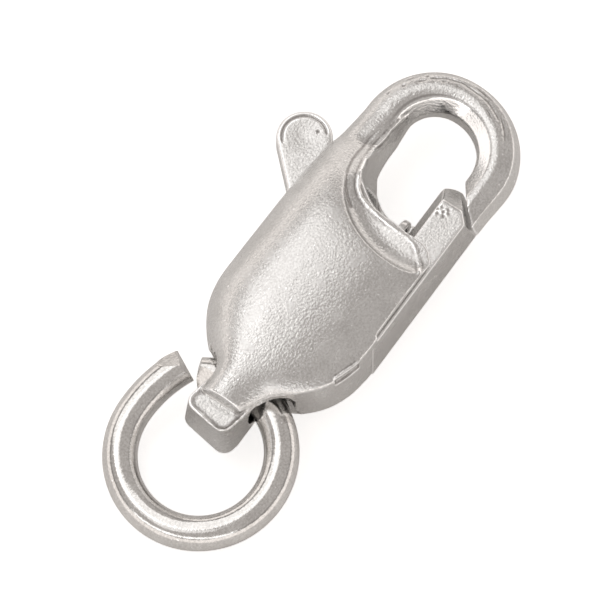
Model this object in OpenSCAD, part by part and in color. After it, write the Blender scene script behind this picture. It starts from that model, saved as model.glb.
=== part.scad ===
// Lobster clasp of cast silver with an open jump ring in its tail eye.
// It lies on its back: +X runs from the tail to the hook, +Y is the thumb tab's side,
// -Y is the gate's side and +Z is up. The origin is on the flat land of the back.

/* [Claw body] */
// Length of the shell in front of the origin, to where it has closed round the hook's leg
shell_front = 4.2; // [4:0.05:5]
// Length of the shell behind the origin, to the end of its neck
shell_back = 4.05; // [3.7:0.05:5]
// Half width of the shell on the thumb tab's side
tab_side = 1.98; // [1.86:0.02:2.4]
// Half width of the shell on the gate's side
gate_side = 2.5; // [2.4:0.02:3]
// Height of the dome over the mid plane
dome_h = 1.8; // [1.7:0.05:2.2]
// Depth of the flat back under the mid plane
back_h = 1.5; // [1.4:0.05:1.9]
// Wall between the gate side and the lever's link, behind the gate
side_wall = 0.45; // [0.35:0.01:0.6]
// Thickness of the floor under the lever
floor_t = 0.65; // [0.5:0.01:0.7]
// Height of the collar over the roof of the lever's slot
collar_t = 0.28; // [0.2:0.02:0.4]

/* [Hook] */
// Thickness of the hook's round wire
hook_wire = 1.16; // [1:0.02:1.3]
// Thickness of the hook's leg where it leaves the shell
leg_d = 1.44; // [1.34:0.02:1.5]
// Distance from the origin forward to the outside of the hook's nose
nose_front = 7.05; // [6.8:0.01:8]
// Distance of the leg's middle from the clasp's axis, towards the tab
leg_side = 1.04; // [1:0.01:1.12]
// Distance of the free end's middle from the clasp's axis, towards the gate
end_side = 2.16; // [2.1:0.01:2.3]
// Distance of the nose from the clasp's axis, towards the gate
nose_side = 0.4; // [0.2:0.01:0.6]
// Radius of the mouth's round end, at the mid plane
mouth_r = 1.42; // [1.3:0.02:1.5]
// Radius of the collar's rim over the mouth
rim_r = 1.55; // [1.5:0.01:1.6]
// Radius of the wider curve in which the rim runs out to the gate side
rim_out_r = 2.65; // [2.5:0.05:2.8]

/* [Gate lever] */
// Height of the lever at the gate and the boss
lever_h = 1.72; // [1.4:0.02:1.74]
// Width of the gate
gate_w = 1.15; // [0.9:0.02:1.2]
// Distance from the origin forward to the gate's tip
gate_front = 4.27; // [4.2:0.01:4.4]
// Distance from the origin back to the gate's heel
gate_back = 0.8; // [0.6:0.05:1]
// Radius of the boss round the pivot
boss_r = 0.42; // [0.38:0.01:0.46]
// Height of the boss and of its link to the gate
boss_h = 1.0; // [0.8:0.02:1.1]
// Distance from the origin back to the pivot
pivot_back = 1.9; // [1.6:0.05:2]
// Distance of the pivot from the clasp's axis, towards the gate
pivot_side = 1.55; // [1.4:0.01:1.6]
// Thickness of the thumb tab
tab_t = 0.7; // [0.5:0.02:0.8]
// Radius of the thumb tab's round head
tab_head_r = 0.72; // [0.6:0.02:0.9]
// Half width of the arm that carries the tab
tab_arm = 0.52; // [0.4:0.02:0.55]
// How far the middle of the tab's head stands out of the shell's side
tab_out = 0.43; // [0.3:0.02:1]
// Distance from the origin forward to the middle of the tab's head
tab_front = 3.27; // [3:0.05:3.6]
// How far the gate swings in, in degrees
gate_swing = 13; // [8:1:14]

/* [Pivot pin] */
// Diameter of the pivot pin
pin_d = 0.46; // [0.36:0.02:0.56]
// Depth of the pin's seat in the floor and in the roof of the slot
pin_seat = 0.36; // [0.2:0.02:0.4]

/* [Return spring] */
// Thickness of the spring leaf
leaf_t = 0.18; // [0.1:0.02:0.2]
// Height of the spring leaf
leaf_h = 0.8; // [0.5:0.02:0.8]
// How far the leaf's tip stands out of the mouth
leaf_out = 0.22; // [0.1:0.02:0.4]
// Thickness of the step on the gate that the leaf bears on
step_t = 0.15; // [0.1:0.01:0.2]

/* [Tail] */
// How far the tail's end stands out of the shell's neck
tail_out = 0.67; // [0.5:0.01:0.8]
// Width of the tail's end
tail_w = 1.48; // [1.3:0.02:1.5]
// Height of the tail's end
tail_h = 1.24; // [1.1:0.02:1.4]
// Radius of the tail's round corners
tail_r = 0.3; // [0.2:0.02:0.36]
// Distance from the neck's end to the middle of the eye
eye_in = 0.87; // [0.85:0.01:1]
// Skew of the tail's end, in degrees
tail_skew = 10; // [0:1:12]

/* [Jump ring] */
// Outer diameter of the jump ring
ring_od = 5.0; // [4.8:0.1:6]
// Thickness of the ring's wire
ring_wire = 0.9; // [0.7:0.02:0.94]
// Direction of the gap, seen from the ring's middle, in degrees
gap_turn = 40; // [34:0.2:44]
// Width of the gap between the wire's ends
gap_w = 0.24; // [0.1:0.02:0.4]
// Radius of the wider bend of the pulled end, to the middle of the wire
pulled_r = 3.6; // [2.6:0.1:3.8]
// Distance of the ring's middle from the clasp's axis, towards the gate
ring_side = 0.15; // [0:0.01:0.2]

/* [Fits] */
// Gap between the lever and the slot, on its floor, its roof and its sides
slot_gap = 0.05; // [0.03:0.01:0.08]
// Gap all round between the pin and the lever
pin_gap = 0.03; // [0.02:0.005:0.05]
// Gap all round between the pin and its seats
seat_gap = 0.01; // [0.005:0.005:0.02]
// Gap between the gate's tip and the hook's end
tip_gap = 0.08; // [0.05:0.01:0.15]
// Spare width of the eye over the ring's wire
eye_play = 0.5; // [0.46:0.01:0.54]

/* [Hidden] */
$fn = 96;

SILVER = [0.80, 0.79, 0.77];
STEEL = [0.68, 0.67, 0.66];
// Reach of the cutting blocks, and how far a cut runs past the surface that it opens
BIG = 40;
PAST = 1;

// The heights that the pieces share
mid_z = back_h;
lever_z0 = floor_t + slot_gap;
lever_z1 = lever_z0 + lever_h;
slot_z1 = lever_z1 + slot_gap;
collar_z = slot_z1 + collar_t;
pin_z0 = mid_z - boss_h / 2 - slot_gap - pin_seat;
pin_z1 = mid_z + boss_h / 2 + slot_gap + pin_seat;

// The shell's sections from the neck to the hook's leg. Each row: place along the shell, then
// the tab side and the gate side, the height and the depth as shares of the named half widths,
// dome height and back depth, and the place of the ridge as a share of the leg's place.
AT = 0; TAB = 1; GATE = 2; RISE = 3; DEPTH = 4; RIDGE = 5;
SECTIONS = [
    [0.00, 0.31, 0.25, 0.53, 0.55, 0.0],
    [0.05, 0.31, 0.34, 0.60, 0.66, 0.0],
    [0.09, 0.35, 0.44, 0.66, 0.73, 0.0],
    [0.13, 0.51, 0.62, 0.72, 0.79, 0.0],
    [0.19, 0.74, 0.82, 0.80, 0.86, 0.0],
    [0.26, 0.92, 0.94, 0.88, 0.94, 0.0],
    [0.34, 1.00, 0.99, 0.94, 1.05, 0.0],
    [0.44, 1.00, 1.00, 0.98, 1.12, 0.0],
    [0.54, 0.99, 1.00, 1.00, 1.14, 0.0],
    [0.64, 0.98, 1.00, 0.98, 1.12, 0.05],
    [0.72, 0.97, 1.00, 0.91, 1.05, 0.20],
    [0.79, 0.96, 1.00, 0.79, 0.91, 0.50],
    [0.86, 0.95, 1.00, 0.63, 0.72, 0.80],
    [0.93, 0.93, 1.00, 0.46, 0.55, 0.96],
    [1.00, 0.76, 1.00, 0.24, 0.29, 1.00],
];
SHELL_STEPS = 24;
ROUND_STEPS = 36;
// The dome is drawn past the gate side and cut back there, which leaves the sharp rim, and
// the back is drawn a little past it, so that the side wall stands upright under the rim
DOME_OVERREACH = 1.36;
BACK_OVERREACH = 1.05;
TOP_POWER = 2.2;
BACK_POWER = 1.9;
// Where the sections begin to close round the leg, and where the side's outline ends
CLOSE_FROM = 0.78;
SIDE_UNTIL = 0.6;

shell_len = shell_front + shell_back;
leg_y = leg_side;

// The hook's bends: the upper one to the leg and the lower one to the free end
nose_x = nose_front - hook_wire / 2;
leg_bend = leg_side + nose_side;
end_bend = end_side - nose_side;
// The leg is full where it leaves the shell, and narrows a little on the way to its root
LEG_IN = 0.5;
ROOT_IN = 1.1;
ROOT_TAPER = 0.12;
// The free end's wire is drawn this much too long and cut back by the slanted plane
END_SPARE = 1.2;

// The mouth, and the rim and the crease of the collar over it
MOUTH_BITE = [0.1, 0.15];
RIM_SHIFT = [-0.22, 0.2];
RIM_OUT_SHIFT = [0.65, 0.9];
CREASE_SHIFT = [-0.45, 0.9];
MOUTH = [shell_front - MOUTH_BITE.x, leg_y - leg_d / 2 - mouth_r + MOUTH_BITE.y];
RIM = MOUTH + RIM_SHIFT;
RIM_OUT = [shell_front, -gate_side] + RIM_OUT_SHIFT;
CREASE = [shell_front, -gate_side] + CREASE_SHIFT;
crease_r = 2.6;
// The mouth widens upwards, from a little over the mid plane to the rim
FLARE_FROM = 0.2;
FLARE_H = 0.9;
FLARE_IN = 0.1;
FLARE_OUT = 0.6;
// The rim's cuts start this far under the slot's roof
RIM_UNDER = 0.1;
// The floor's lip reaches further into the mouth than the roof
FLOOR_LIP = [0.3, 0.2];
// The round corner of the collar at the gate side
corner_r = 0.72;
CORNER = [RIM_OUT.x - sqrt((rim_out_r + corner_r) ^ 2 - (RIM_OUT.y + gate_side - corner_r) ^ 2),
    -gate_side + corner_r];
corner_until = atan2(RIM_OUT.y - CORNER.y, RIM_OUT.x - CORNER.x);

// The lever
PIVOT = [-pivot_back, -pivot_side];
gate_out = -gate_side + slot_gap;
gate_in = gate_out + gate_w;
link_out = -gate_side + side_wall + slot_gap;
// The link overlaps the gate by this much
link_lap = 0.3;
TAB_HEAD = [tab_front, tab_side + tab_out];
arm_len = norm(TAB_HEAD - PIVOT);
arm_turn = atan2(TAB_HEAD.y - PIVOT.y, TAB_HEAD.x - PIVOT.x);
// The slots are this many degrees wider than the swing
SPARE_SWING = 1;
swept = gate_swing + SPARE_SWING;

// The gate's tip meets the hook's end in a slanted plane that leans outwards below. The
// gate's outer side ends this far behind its tip
SLANT = 43;
SLANT_LEAN = 13;
TIP_REACH = 0.97;
SLANT_AT = [gate_front - TIP_REACH, gate_out];
TIP_CHAMFER = 0.36;
// The bevel along the gate's inner edges, which starts in front of the link
GATE_BEVEL = 0.42;
BEVEL_FROM = 0.6;

// The spring's leaf, and the step that it bears on, which reaches a little past its tip
LEAF_SEAT = 0.02;
STEP_PAST = 0.1;
leaf_y = gate_in + step_t + LEAF_SEAT;
leaf_from = 0.7;
leaf_tip = MOUTH.x - mouth_r + leaf_out;

// The tail's end and its eye, and the ring through it
EYE = [-shell_back + eye_in, mid_z - 0.02];
eye_d = ring_wire + eye_play;
// Half the length of the eye's bore, and how far the ring's room laps over its ends
eye_half = tail_w / 2 + 0.1;
ROOM_LAP = 0.05;
ring_r = (ring_od - ring_wire) / 2;
// The ring's wire stands this far over the eye's floor, and this far from its middle
ring_lift = 0.06;
ring_pull = 0.1;
ring_drop = EYE.y - eye_play / 2 + ring_lift - ring_wire / 2;
ring_lean = asin(ring_drop / (2 * ring_r));
RING = [EYE.x - ring_r * cos(ring_lean) + ring_pull, -ring_side];

function mix(a, b, t) = a + (b - a) * t;
function polar(c, r, a) = [c.x + r * cos(a), c.y + r * sin(a)];
// A point of the lever, swung in past the limit about the pivot
function swung(p) =
    polar(PIVOT, norm(p - PIVOT), atan2(p.y - PIVOT.y, p.x - PIVOT.x) + swept);

// A smooth value between the rows of the table, through each row's own value
function row_under(s, i = 0) =
    i >= len(SECTIONS) - 2 || s < SECTIONS[i + 1][AT] ? i : row_under(s, i + 1);
function smooth_at(s, col) =
    let (
        i = row_under(s),
        a = SECTIONS[max(i - 1, 0)],
        b = SECTIONS[i],
        c = SECTIONS[i + 1],
        d = SECTIONS[min(i + 2, len(SECTIONS) - 1)],
        span = c[AT] - b[AT],
        t = (s - b[AT]) / span,
        mb = span * (c[col] - a[col]) / (c[AT] - a[AT]),
        mc = span * (d[col] - b[col]) / (d[AT] - b[AT])
    )
    (2 * t ^ 3 - 3 * t ^ 2 + 1) * b[col] + (t ^ 3 - 2 * t ^ 2 + t) * mb
    + (3 * t ^ 2 - 2 * t ^ 3) * c[col] + (t ^ 3 - t ^ 2) * mc;

// The cosine or sine of a superellipse
function bulge(v, power) = sign(v) * abs(v) ^ (2 / power);

// One section of the shell, as a closed ring of points
function shell_ring(s) =
    let (
        x = -shell_back + s * shell_len,
        ridge = leg_y * smooth_at(s, RIDGE),
        tab_w = tab_side * smooth_at(s, TAB) - ridge,
        gate_w_here = gate_side * smooth_at(s, GATE),
        close = max(0, (s - CLOSE_FROM) / (1 - CLOSE_FROM)),
        up = dome_h * smooth_at(s, RISE),
        down = back_h * smooth_at(s, DEPTH)
    )
    [for (k = [0:ROUND_STEPS - 1])
        let (
            a = 360 * k / ROUND_STEPS,
            top = sin(a) > 0,
            power = mix(top ? TOP_POWER : BACK_POWER, 2, close),
            overreach = top ? DOME_OVERREACH : BACK_OVERREACH,
            side = cos(a) > 0 ? tab_w : mix(gate_w_here * overreach + ridge, tab_w, close)
        )
        [
            x,
            ridge + side * bulge(cos(a), power),
            mid_z + (top ? up : down) * bulge(sin(a), power)
        ]];

module shell_form() {
    n = ROUND_STEPS;
    polyhedron(
        points = [for (i = [0:SHELL_STEPS]) for (p = shell_ring(i / SHELL_STEPS)) p],
        faces = concat(
            [[for (k = [0:n - 1]) k]],
            [for (i = [0:SHELL_STEPS - 1]) for (k = [0:n - 1])
                [i * n + k, (i + 1) * n + k, (i + 1) * n + (k + 1) % n]],
            [for (i = [0:SHELL_STEPS - 1]) for (k = [0:n - 1])
                [i * n + k, (i + 1) * n + (k + 1) % n, i * n + (k + 1) % n]],
            [[for (k = [n - 1:-1:0]) SHELL_STEPS * n + k]]
        ));
}

// The shell's outline on the gate side, with the round corner into the mouth
module gate_outline() {
    side_steps = 16;
    corner_steps = 8;
    side = [for (i = [0:side_steps])
        let (s = SIDE_UNTIL * i / side_steps)
        [-shell_back + s * shell_len, -gate_side * smooth_at(s, GATE)]];
    corner = [for (i = [0:corner_steps])
        polar(CORNER, corner_r, mix(-90, corner_until, i / corner_steps))];
    polygon(concat(
        [[-BIG, side[0].y]], side, corner,
        [MOUTH, [BIG, MOUTH.y], [BIG, BIG], [-BIG, BIG]]));
}

// The slot that the gate swings in, open to the gate side and to the mouth
module gate_slot() {
    back = -gate_back - slot_gap;
    translate([0, 0, floor_t]) linear_extrude(slot_z1 - floor_t) polygon([
        [back, -BIG],
        [BIG, -BIG],
        [BIG, MOUTH.y],
        MOUTH,
        swung([leaf_tip + slot_gap, leaf_y + leaf_t + slot_gap]),
        swung([leaf_from - slot_gap, leaf_y + leaf_t + slot_gap]),
        swung([back - slot_gap, gate_in + slot_gap]),
        [back, gate_in]]);
}

// The lower slot behind it, for the boss and its link to the gate
module boss_slot() {
    r = boss_r + slot_gap;
    translate([0, 0, mid_z - boss_h / 2 - slot_gap]) linear_extrude(boss_h + 2 * slot_gap) {
        translate(PIVOT) circle(r = r);
        polygon([
            [PIVOT.x, PIVOT.y - r],
            [-gate_back, link_out - slot_gap],
            [-gate_back, gate_in],
            swung([-gate_back, gate_in + slot_gap]),
            [PIVOT.x - r * sin(swept), PIVOT.y + r * cos(swept)]]);
    }
}

// The thin slot that the tab's arm sweeps through
module tab_slot() {
    half = tab_arm + 2 * slot_gap;
    reach = arm_len + 2 * tab_head_r;
    translate([PIVOT.x, PIVOT.y, mid_z - tab_t / 2 - slot_gap])
        linear_extrude(tab_t + 2 * slot_gap) rotate(arm_turn) {
            polygon([
                [0, -half],
                [reach, -half],
                polar([0, 0], reach, swept),
                [reach * cos(swept) - half * sin(swept), reach * sin(swept) + half * cos(swept)],
                [-half * sin(swept), half * cos(swept)],
                [-half, 0]]);
            translate([arm_len, 0]) circle(r = tab_head_r + slot_gap);
        }
}

// A quarter of a wire ring in the mid plane, from one direction round by 90 degrees
module quarter_bend(c, r, from) {
    translate([c.x, c.y, mid_z]) rotate([0, 0, from])
        rotate_extrude(angle = 90) translate([r, 0]) circle(d = hook_wire);
}

// What lies beyond the slanted plane, which is moved forward by a gap
module beyond_slant(gap) {
    translate([SLANT_AT.x, SLANT_AT.y, lever_z1]) rotate([0, 0, SLANT]) rotate([-SLANT_LEAN, 0, 0])
        translate([-BIG / 2, -BIG - gap, -BIG / 2]) cube([BIG, BIG, BIG]);
}

module hook_leg() {
    from_x = nose_x - leg_bend;
    full = from_x - shell_front + LEG_IN;
    root = from_x - shell_front + ROOT_IN;
    translate([from_x, leg_y, mid_z]) rotate([0, -90, 0]) rotate_extrude() polygon([
        [0, 0],
        [hook_wire / 2, 0],
        [leg_d / 2, full],
        [leg_d / 2 - ROOT_TAPER, root],
        [0, root]]);
}

module hook_end() {
    from_x = nose_x - end_bend;
    reach = from_x - gate_front + END_SPARE;
    intersection() {
        translate([from_x, -end_side, mid_z]) rotate([0, -90, 0]) cylinder(h = reach, d = hook_wire);
        beyond_slant(tip_gap);
    }
}

module hook() {
    quarter_bend([nose_x - leg_bend, -nose_side], leg_bend, 0);
    quarter_bend([nose_x - end_bend, -nose_side], end_bend, -90);
    hook_end();
}

// The tail's end: round corners in plan and from the side
module tail_end() {
    translate([-shell_back, 0, EYE.y]) rotate([0, 0, -tail_skew]) intersection() {
        translate([0, 0, -tail_h / 2]) linear_extrude(tail_h) round_back(tail_w);
        rotate([90, 0, 0]) translate([0, 0, -tail_w]) linear_extrude(2 * tail_w)
            round_back(tail_h);
    }
}

// The outline of a bar from the tail's end to the eye, with its two corners at the back rounded
module round_back(w) {
    long = tail_out + eye_in;
    translate([-tail_out, -w / 2 + tail_r]) square([long, w - 2 * tail_r]);
    translate([-tail_out + tail_r, -w / 2]) square([long - tail_r, w]);
    for (side = [-1, 1]) translate([-tail_out + tail_r, side * (w / 2 - tail_r)]) circle(r = tail_r);
}

// The eye through the tail, and room for the ring beside it
module tail_eye() {
    translate([EYE.x, eye_half, EYE.y]) rotate([90, 0, 0]) cylinder(h = 2 * eye_half, d = eye_d);
    room = ring_od / 2 + eye_play / 2;
    for (side = [-1, 1]) intersection() {
        translate([RING.x, RING.y, EYE.y - eye_d / 2]) cylinder(h = eye_d, r = room);
        translate([-BIG, side > 0 ? eye_half - ROOM_LAP : -BIG - eye_half + ROOM_LAP, 0])
            cube([2 * BIG, BIG, BIG]);
    }
}

module mouth_cut() {
    translate([MOUTH.x, MOUTH.y, floor_t]) cylinder(h = BIG, r = mouth_r);
    translate([MOUTH.x + FLOOR_LIP.x, MOUTH.y + FLOOR_LIP.y, -PAST])
        cylinder(h = floor_t + 2 * PAST, r = mouth_r);
    translate([MOUTH.x, MOUTH.y, mid_z + FLARE_FROM])
        cylinder(h = FLARE_H, r1 = mouth_r - FLARE_IN, r2 = mouth_r + FLARE_OUT);
    translate([RIM.x, RIM.y, slot_z1 - RIM_UNDER]) cylinder(h = BIG, r = rim_r);
    translate([RIM_OUT.x, RIM_OUT.y, slot_z1 - RIM_UNDER]) cylinder(h = BIG, r = rim_out_r);
}

module claw_body() {
    color(SILVER) union() {
        difference() {
            union() {
                difference() {
                    shell_form();
                    difference() {
                        translate([-BIG, -BIG, -PAST]) cube([2 * BIG, 2 * BIG, BIG]);
                        translate([0, 0, -2 * PAST]) linear_extrude(2 * BIG) gate_outline();
                    }
                    translate([-BIG / 2, -BIG / 2, -BIG]) cube(BIG);
                    translate([CREASE.x, CREASE.y, collar_z]) cylinder(h = BIG, r = crease_r);
                    mouth_cut();
                }
                hook_leg();
                tail_end();
            }
            gate_slot();
            boss_slot();
            tab_slot();
            tail_eye();
            translate([PIVOT.x, PIVOT.y, pin_z0])
                cylinder(h = pin_z1 - pin_z0, d = pin_d + 2 * seat_gap);
        }
        hook();
    }
}

module gate_lever() {
    color(SILVER) difference() {
        union() {
            gate();
            // The boss and its link to the gate
            translate([0, 0, mid_z - boss_h / 2]) linear_extrude(boss_h) {
                translate(PIVOT) circle(r = boss_r);
                polygon([
                    [PIVOT.x, PIVOT.y - boss_r],
                    [-gate_back, link_out],
                    [-gate_back + link_lap, link_out],
                    [-gate_back + link_lap, gate_in],
                    [-gate_back, gate_in],
                    [PIVOT.x, PIVOT.y + boss_r]]);
            }
            // The arm and the thumb tab
            translate([PIVOT.x, PIVOT.y, mid_z - tab_t / 2]) linear_extrude(tab_t) rotate(arm_turn) {
                translate([0, -tab_arm]) square([arm_len, 2 * tab_arm]);
                translate([arm_len, 0]) circle(r = tab_head_r);
            }
            // The step that the spring bears on
            translate([leaf_from, gate_in - step_t, mid_z - leaf_h / 2])
                cube([leaf_tip + STEP_PAST - leaf_from, 2 * step_t, leaf_h]);
        }
        // The bore for the pin
        translate([PIVOT.x, PIVOT.y, 0]) cylinder(h = BIG, d = pin_d + 2 * pin_gap);
    }
}

module gate() {
    difference() {
        translate([0, 0, lever_z0]) linear_extrude(lever_h) polygon([
            [-gate_back, gate_out],
            [gate_front, gate_out],
            [gate_front, gate_in - TIP_CHAMFER / 2],
            [gate_front - TIP_CHAMFER / 2, gate_in],
            [-gate_back, gate_in]]);
        beyond_slant(0);
        // Bevels along the gate's inner edges, in front of the link
        for (z = [lever_z0, lever_z1]) translate([BEVEL_FROM, gate_in, z]) rotate([45, 0, 0])
            translate([0, -GATE_BEVEL / sqrt(2), -GATE_BEVEL / sqrt(2)])
                cube([BIG, sqrt(2) * GATE_BEVEL, sqrt(2) * GATE_BEVEL]);
        // The chamfer down to the tip
        translate([gate_front, 0, lever_z1]) rotate([0, 45, 0])
            translate([-TIP_CHAMFER / sqrt(2), -BIG / 2, -TIP_CHAMFER / sqrt(2)])
                cube([sqrt(2) * TIP_CHAMFER, BIG, sqrt(2) * TIP_CHAMFER]);
    }
}

module pivot_pin() {
    color(STEEL) translate([PIVOT.x, PIVOT.y, pin_z0 + seat_gap])
        cylinder(h = pin_z1 - pin_z0 - 2 * seat_gap, d = pin_d);
}

module return_spring() {
    straight = leaf_tip - leaf_from - leaf_h / 2;
    color(STEEL) translate([leaf_from, leaf_y, mid_z]) {
        translate([0, 0, -leaf_h / 2]) cube([straight, leaf_t, leaf_h]);
        translate([straight, 0, 0]) rotate([-90, 0, 0]) cylinder(h = leaf_t, d = leaf_h);
    }
}

module jump_ring() {
    gap_half = gap_w / 2 / ring_r * 180 / PI;
    // The round runs from the ring's side back to the gap. The pulled end runs the other way on
    // its wider bend, until it stands in the direction of the gap's other side
    offset = pulled_r - ring_r;
    to = gap_turn + gap_half;
    reach = sqrt(pulled_r ^ 2 - (offset * cos(to)) ^ 2) - offset * sin(to);
    pulled_span = asin(reach * cos(to) / pulled_r);
    color(SILVER) translate([RING.x, RING.y, ring_wire / 2 + ring_drop / 2])
        rotate([0, -ring_lean, 0]) {
            rotate([0, 0, 90]) rotate_extrude(angle = 270 + gap_turn - gap_half)
                translate([ring_r, 0]) circle(d = ring_wire);
            translate([0, -offset]) mirror([1, 0]) rotate([0, 0, 90])
                rotate_extrude(angle = pulled_span) translate([pulled_r, 0]) circle(d = ring_wire);
        }
}

claw_body();
gate_lever();
pivot_pin();
return_spring();
jump_ring();
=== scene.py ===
"""Lobster clasp of cast silver with an open jump ring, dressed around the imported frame.

The classes hold their lengths in millimetres. A finished mesh is scaled to metres at its end.
"""

import logging
import math
from dataclasses import dataclass
from enum import Enum
from typing import Callable, Iterable, Sequence

import bmesh
import bpy
from bmesh.types import BMEdge, BMesh, BMVert
from bpy.types import ID, Material, Node, NodeSocket, NodeTree, Object
from mathutils import Matrix, Vector
from mathutils.kdtree import KDTree


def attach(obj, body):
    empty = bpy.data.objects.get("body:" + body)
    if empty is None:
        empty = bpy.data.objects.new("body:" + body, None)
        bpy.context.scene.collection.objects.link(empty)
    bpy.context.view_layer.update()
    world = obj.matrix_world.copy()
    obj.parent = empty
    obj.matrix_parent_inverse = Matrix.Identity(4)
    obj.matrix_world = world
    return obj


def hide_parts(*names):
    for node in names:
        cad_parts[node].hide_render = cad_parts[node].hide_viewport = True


LOG = logging.getLogger("lobster_clasp")
MM = 0.001
UP = Vector((0.0, 0.0, 1.0))
# Reach of a cutting block, past everything that it cuts
FAR = 20.0

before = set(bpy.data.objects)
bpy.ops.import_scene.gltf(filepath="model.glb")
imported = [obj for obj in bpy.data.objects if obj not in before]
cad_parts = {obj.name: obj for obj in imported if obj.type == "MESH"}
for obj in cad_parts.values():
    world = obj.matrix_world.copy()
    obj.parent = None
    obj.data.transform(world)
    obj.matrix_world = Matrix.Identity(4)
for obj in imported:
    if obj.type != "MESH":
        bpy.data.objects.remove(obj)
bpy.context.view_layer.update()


class Join(Enum):
    """How a tool acts on the piece that it meets."""

    CUT = "DIFFERENCE"
    KEEP = "INTERSECT"


@dataclass(frozen=True)
class Fineness:
    """How finely a cast piece is meshed: the voxel in millimetres and the most triangles."""

    voxel: float
    triangles: int


FINE = Fineness(voxel=0.034, triangles=190_000)


def mix(a: float, b: float, t: float) -> float:
    """Return the value a share t of the way from a to b."""
    return a + (b - a) * t


def eased(t: float) -> float:
    """Return t held between 0 and 1 and eased at both ends."""
    t = min(max(t, 0.0), 1.0)
    return t * t * (3.0 - 2.0 * t)


def bell(away: float, width: float) -> float:
    """Return a bell curve's height, 1 at its middle."""
    return math.exp(-((away / width) ** 2))


def polar(centre: Vector, radius: float, degrees: float) -> Vector:
    """Return the plan point at a radius and a direction from a centre."""
    turn = math.radians(degrees)
    return Vector((centre.x + radius * math.cos(turn), centre.y + radius * math.sin(turn)))


def outward(degrees: float) -> Vector:
    """Return the plan direction at an angle."""
    return polar(Vector((0.0, 0.0)), 1.0, degrees)


def heading(reach: Vector) -> float:
    """Return the angle of a plan direction, in degrees."""
    return math.degrees(math.atan2(reach.y, reach.x))


def plan(*spots: tuple[float, float]) -> list[Vector]:
    """Return points of the plan."""
    return [Vector(spot) for spot in spots]


def turned(degrees: float, axis: str) -> Matrix:
    """Return the turn by an angle about an axis."""
    return Matrix.Rotation(math.radians(degrees), 4, axis)


def placed(name: str, data: ID, place: Matrix) -> Object:
    """Put an object with its data into the scene at a place.

    Args:
        name: The object's name.
        data: Its mesh, lamp or camera.
        place: Its place in the world.

    Returns:
        The object, linked to the scene.
    """
    made = bpy.data.objects.new(name, data)
    made.matrix_world = place
    bpy.context.scene.collection.objects.link(made)
    return made


def in_world(name: str, bm: BMesh) -> Object:
    """Make an object of a bmesh, and free the bmesh.

    Args:
        name: The object's name, and its mesh's.
        bm: The shape.

    Returns:
        The object, linked to the scene, at the origin.
    """
    mesh = bpy.data.meshes.new(name)
    bm.to_mesh(mesh)
    bm.free()
    return placed(name, mesh, Matrix.Identity(4))


def closed(bm: BMesh) -> BMesh:
    """Merge doubles, fill what is open and turn the faces outwards.

    Args:
        bm: The shape.

    Returns:
        The same shape.
    """
    bmesh.ops.remove_doubles(bm, verts=bm.verts, dist=1e-5)
    bmesh.ops.holes_fill(bm, edges=bm.edges, sides=0)
    bmesh.ops.recalc_face_normals(bm, faces=bm.faces)
    return bm


def wrapped(along: int, around: int, place: Callable[[float, float], Vector]) -> BMesh:
    """Wrap a grid into a closed bar.

    Args:
        along: Steps from one end to the other.
        around: Steps round the bar.
        place: Gives the point at a share of the way along and a share of the way round.

    Returns:
        The bar, closed at both ends.
    """
    bm = bmesh.new()
    bmesh.ops.create_grid(bm, x_segments=along, y_segments=around, size=0.5)
    for vert in bm.verts:
        vert.co = place(vert.co.x + 0.5, vert.co.y + 0.5)
    return closed(bm)


def prism(outline: Sequence[Vector], low: float, high: float) -> BMesh:
    """Stand a plan outline up between two heights.

    Args:
        outline: The points in plan, in order.
        low: The height of its foot.
        high: The height of its top.

    Returns:
        The closed shape.
    """
    bm = bmesh.new()
    base = bm.faces.new([bm.verts.new((p.x, p.y, low)) for p in outline])
    grown = bmesh.ops.extrude_face_region(bm, geom=[base])
    tops = [g for g in grown["geom"] if isinstance(g, BMVert)]
    bmesh.ops.translate(bm, verts=tops, vec=(0.0, 0.0, high - low))
    return closed(bm)


def lathe(profile: Iterable[tuple[float, float]], at: Vector) -> BMesh:
    """Turn a profile of radius and height, from axis to axis, about an upright axis.

    Args:
        profile: Pairs of radius and height.
        at: The axis, in plan.

    Returns:
        The closed shape.
    """
    bm = bmesh.new()
    verts = [bm.verts.new((at.x + radius, at.y, height)) for radius, height in profile]
    edges = [bm.edges.new(pair) for pair in zip(verts, verts[1:])]
    bmesh.ops.spin(bm, geom=verts + edges, cent=(at.x, at.y, 0.0), axis=UP,
                   angle=math.tau, steps=128, use_merge=True)
    return closed(bm)


def rod(radius: float, length: float, place: Matrix) -> BMesh:
    """Make a round rod that starts at a place and runs along its own +Z.

    Args:
        radius: Its radius.
        length: Its length.
        place: Its start and its direction.

    Returns:
        The closed rod.
    """
    bm = bmesh.new()
    bmesh.ops.create_cone(bm, cap_ends=True, segments=96, radius1=radius,
                          radius2=radius, depth=length,
                          matrix=place @ Matrix.Translation((0.0, 0.0, length / 2)))
    return closed(bm)


def block(low: Vector, high: Vector) -> BMesh:
    """Make a block between two corners.

    Args:
        low: The corner with the lowest values.
        high: The opposite corner.

    Returns:
        The closed block.
    """
    bm = bmesh.new()
    size = high - low
    middle = Matrix.Translation((low + high) / 2) @ Matrix.Diagonal((*size, 1.0))
    bmesh.ops.create_cube(bm, size=1.0, matrix=middle)
    return closed(bm)


def standing(x: float, y: float, z: float) -> Matrix:
    """Return the place of an upright rod that starts at a point."""
    return Matrix.Translation((x, y, z))


def sharp_edges(bm: BMesh, over: float) -> list[BMEdge]:
    """Return the edges whose faces meet at more than an angle, in radians."""
    return [e for e in bm.edges if e.calc_face_angle(0.0) > over]


def bevelled(bm: BMesh, edges: Sequence[BMEdge], offset: float, segments: int,
             clamp: bool = False) -> None:
    """Bevel edges of a shape."""
    bmesh.ops.bevel(bm, geom=edges, offset=offset, segments=segments, profile=0.5,
                    affect="EDGES", clamp_overlap=clamp, material=-1)


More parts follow.
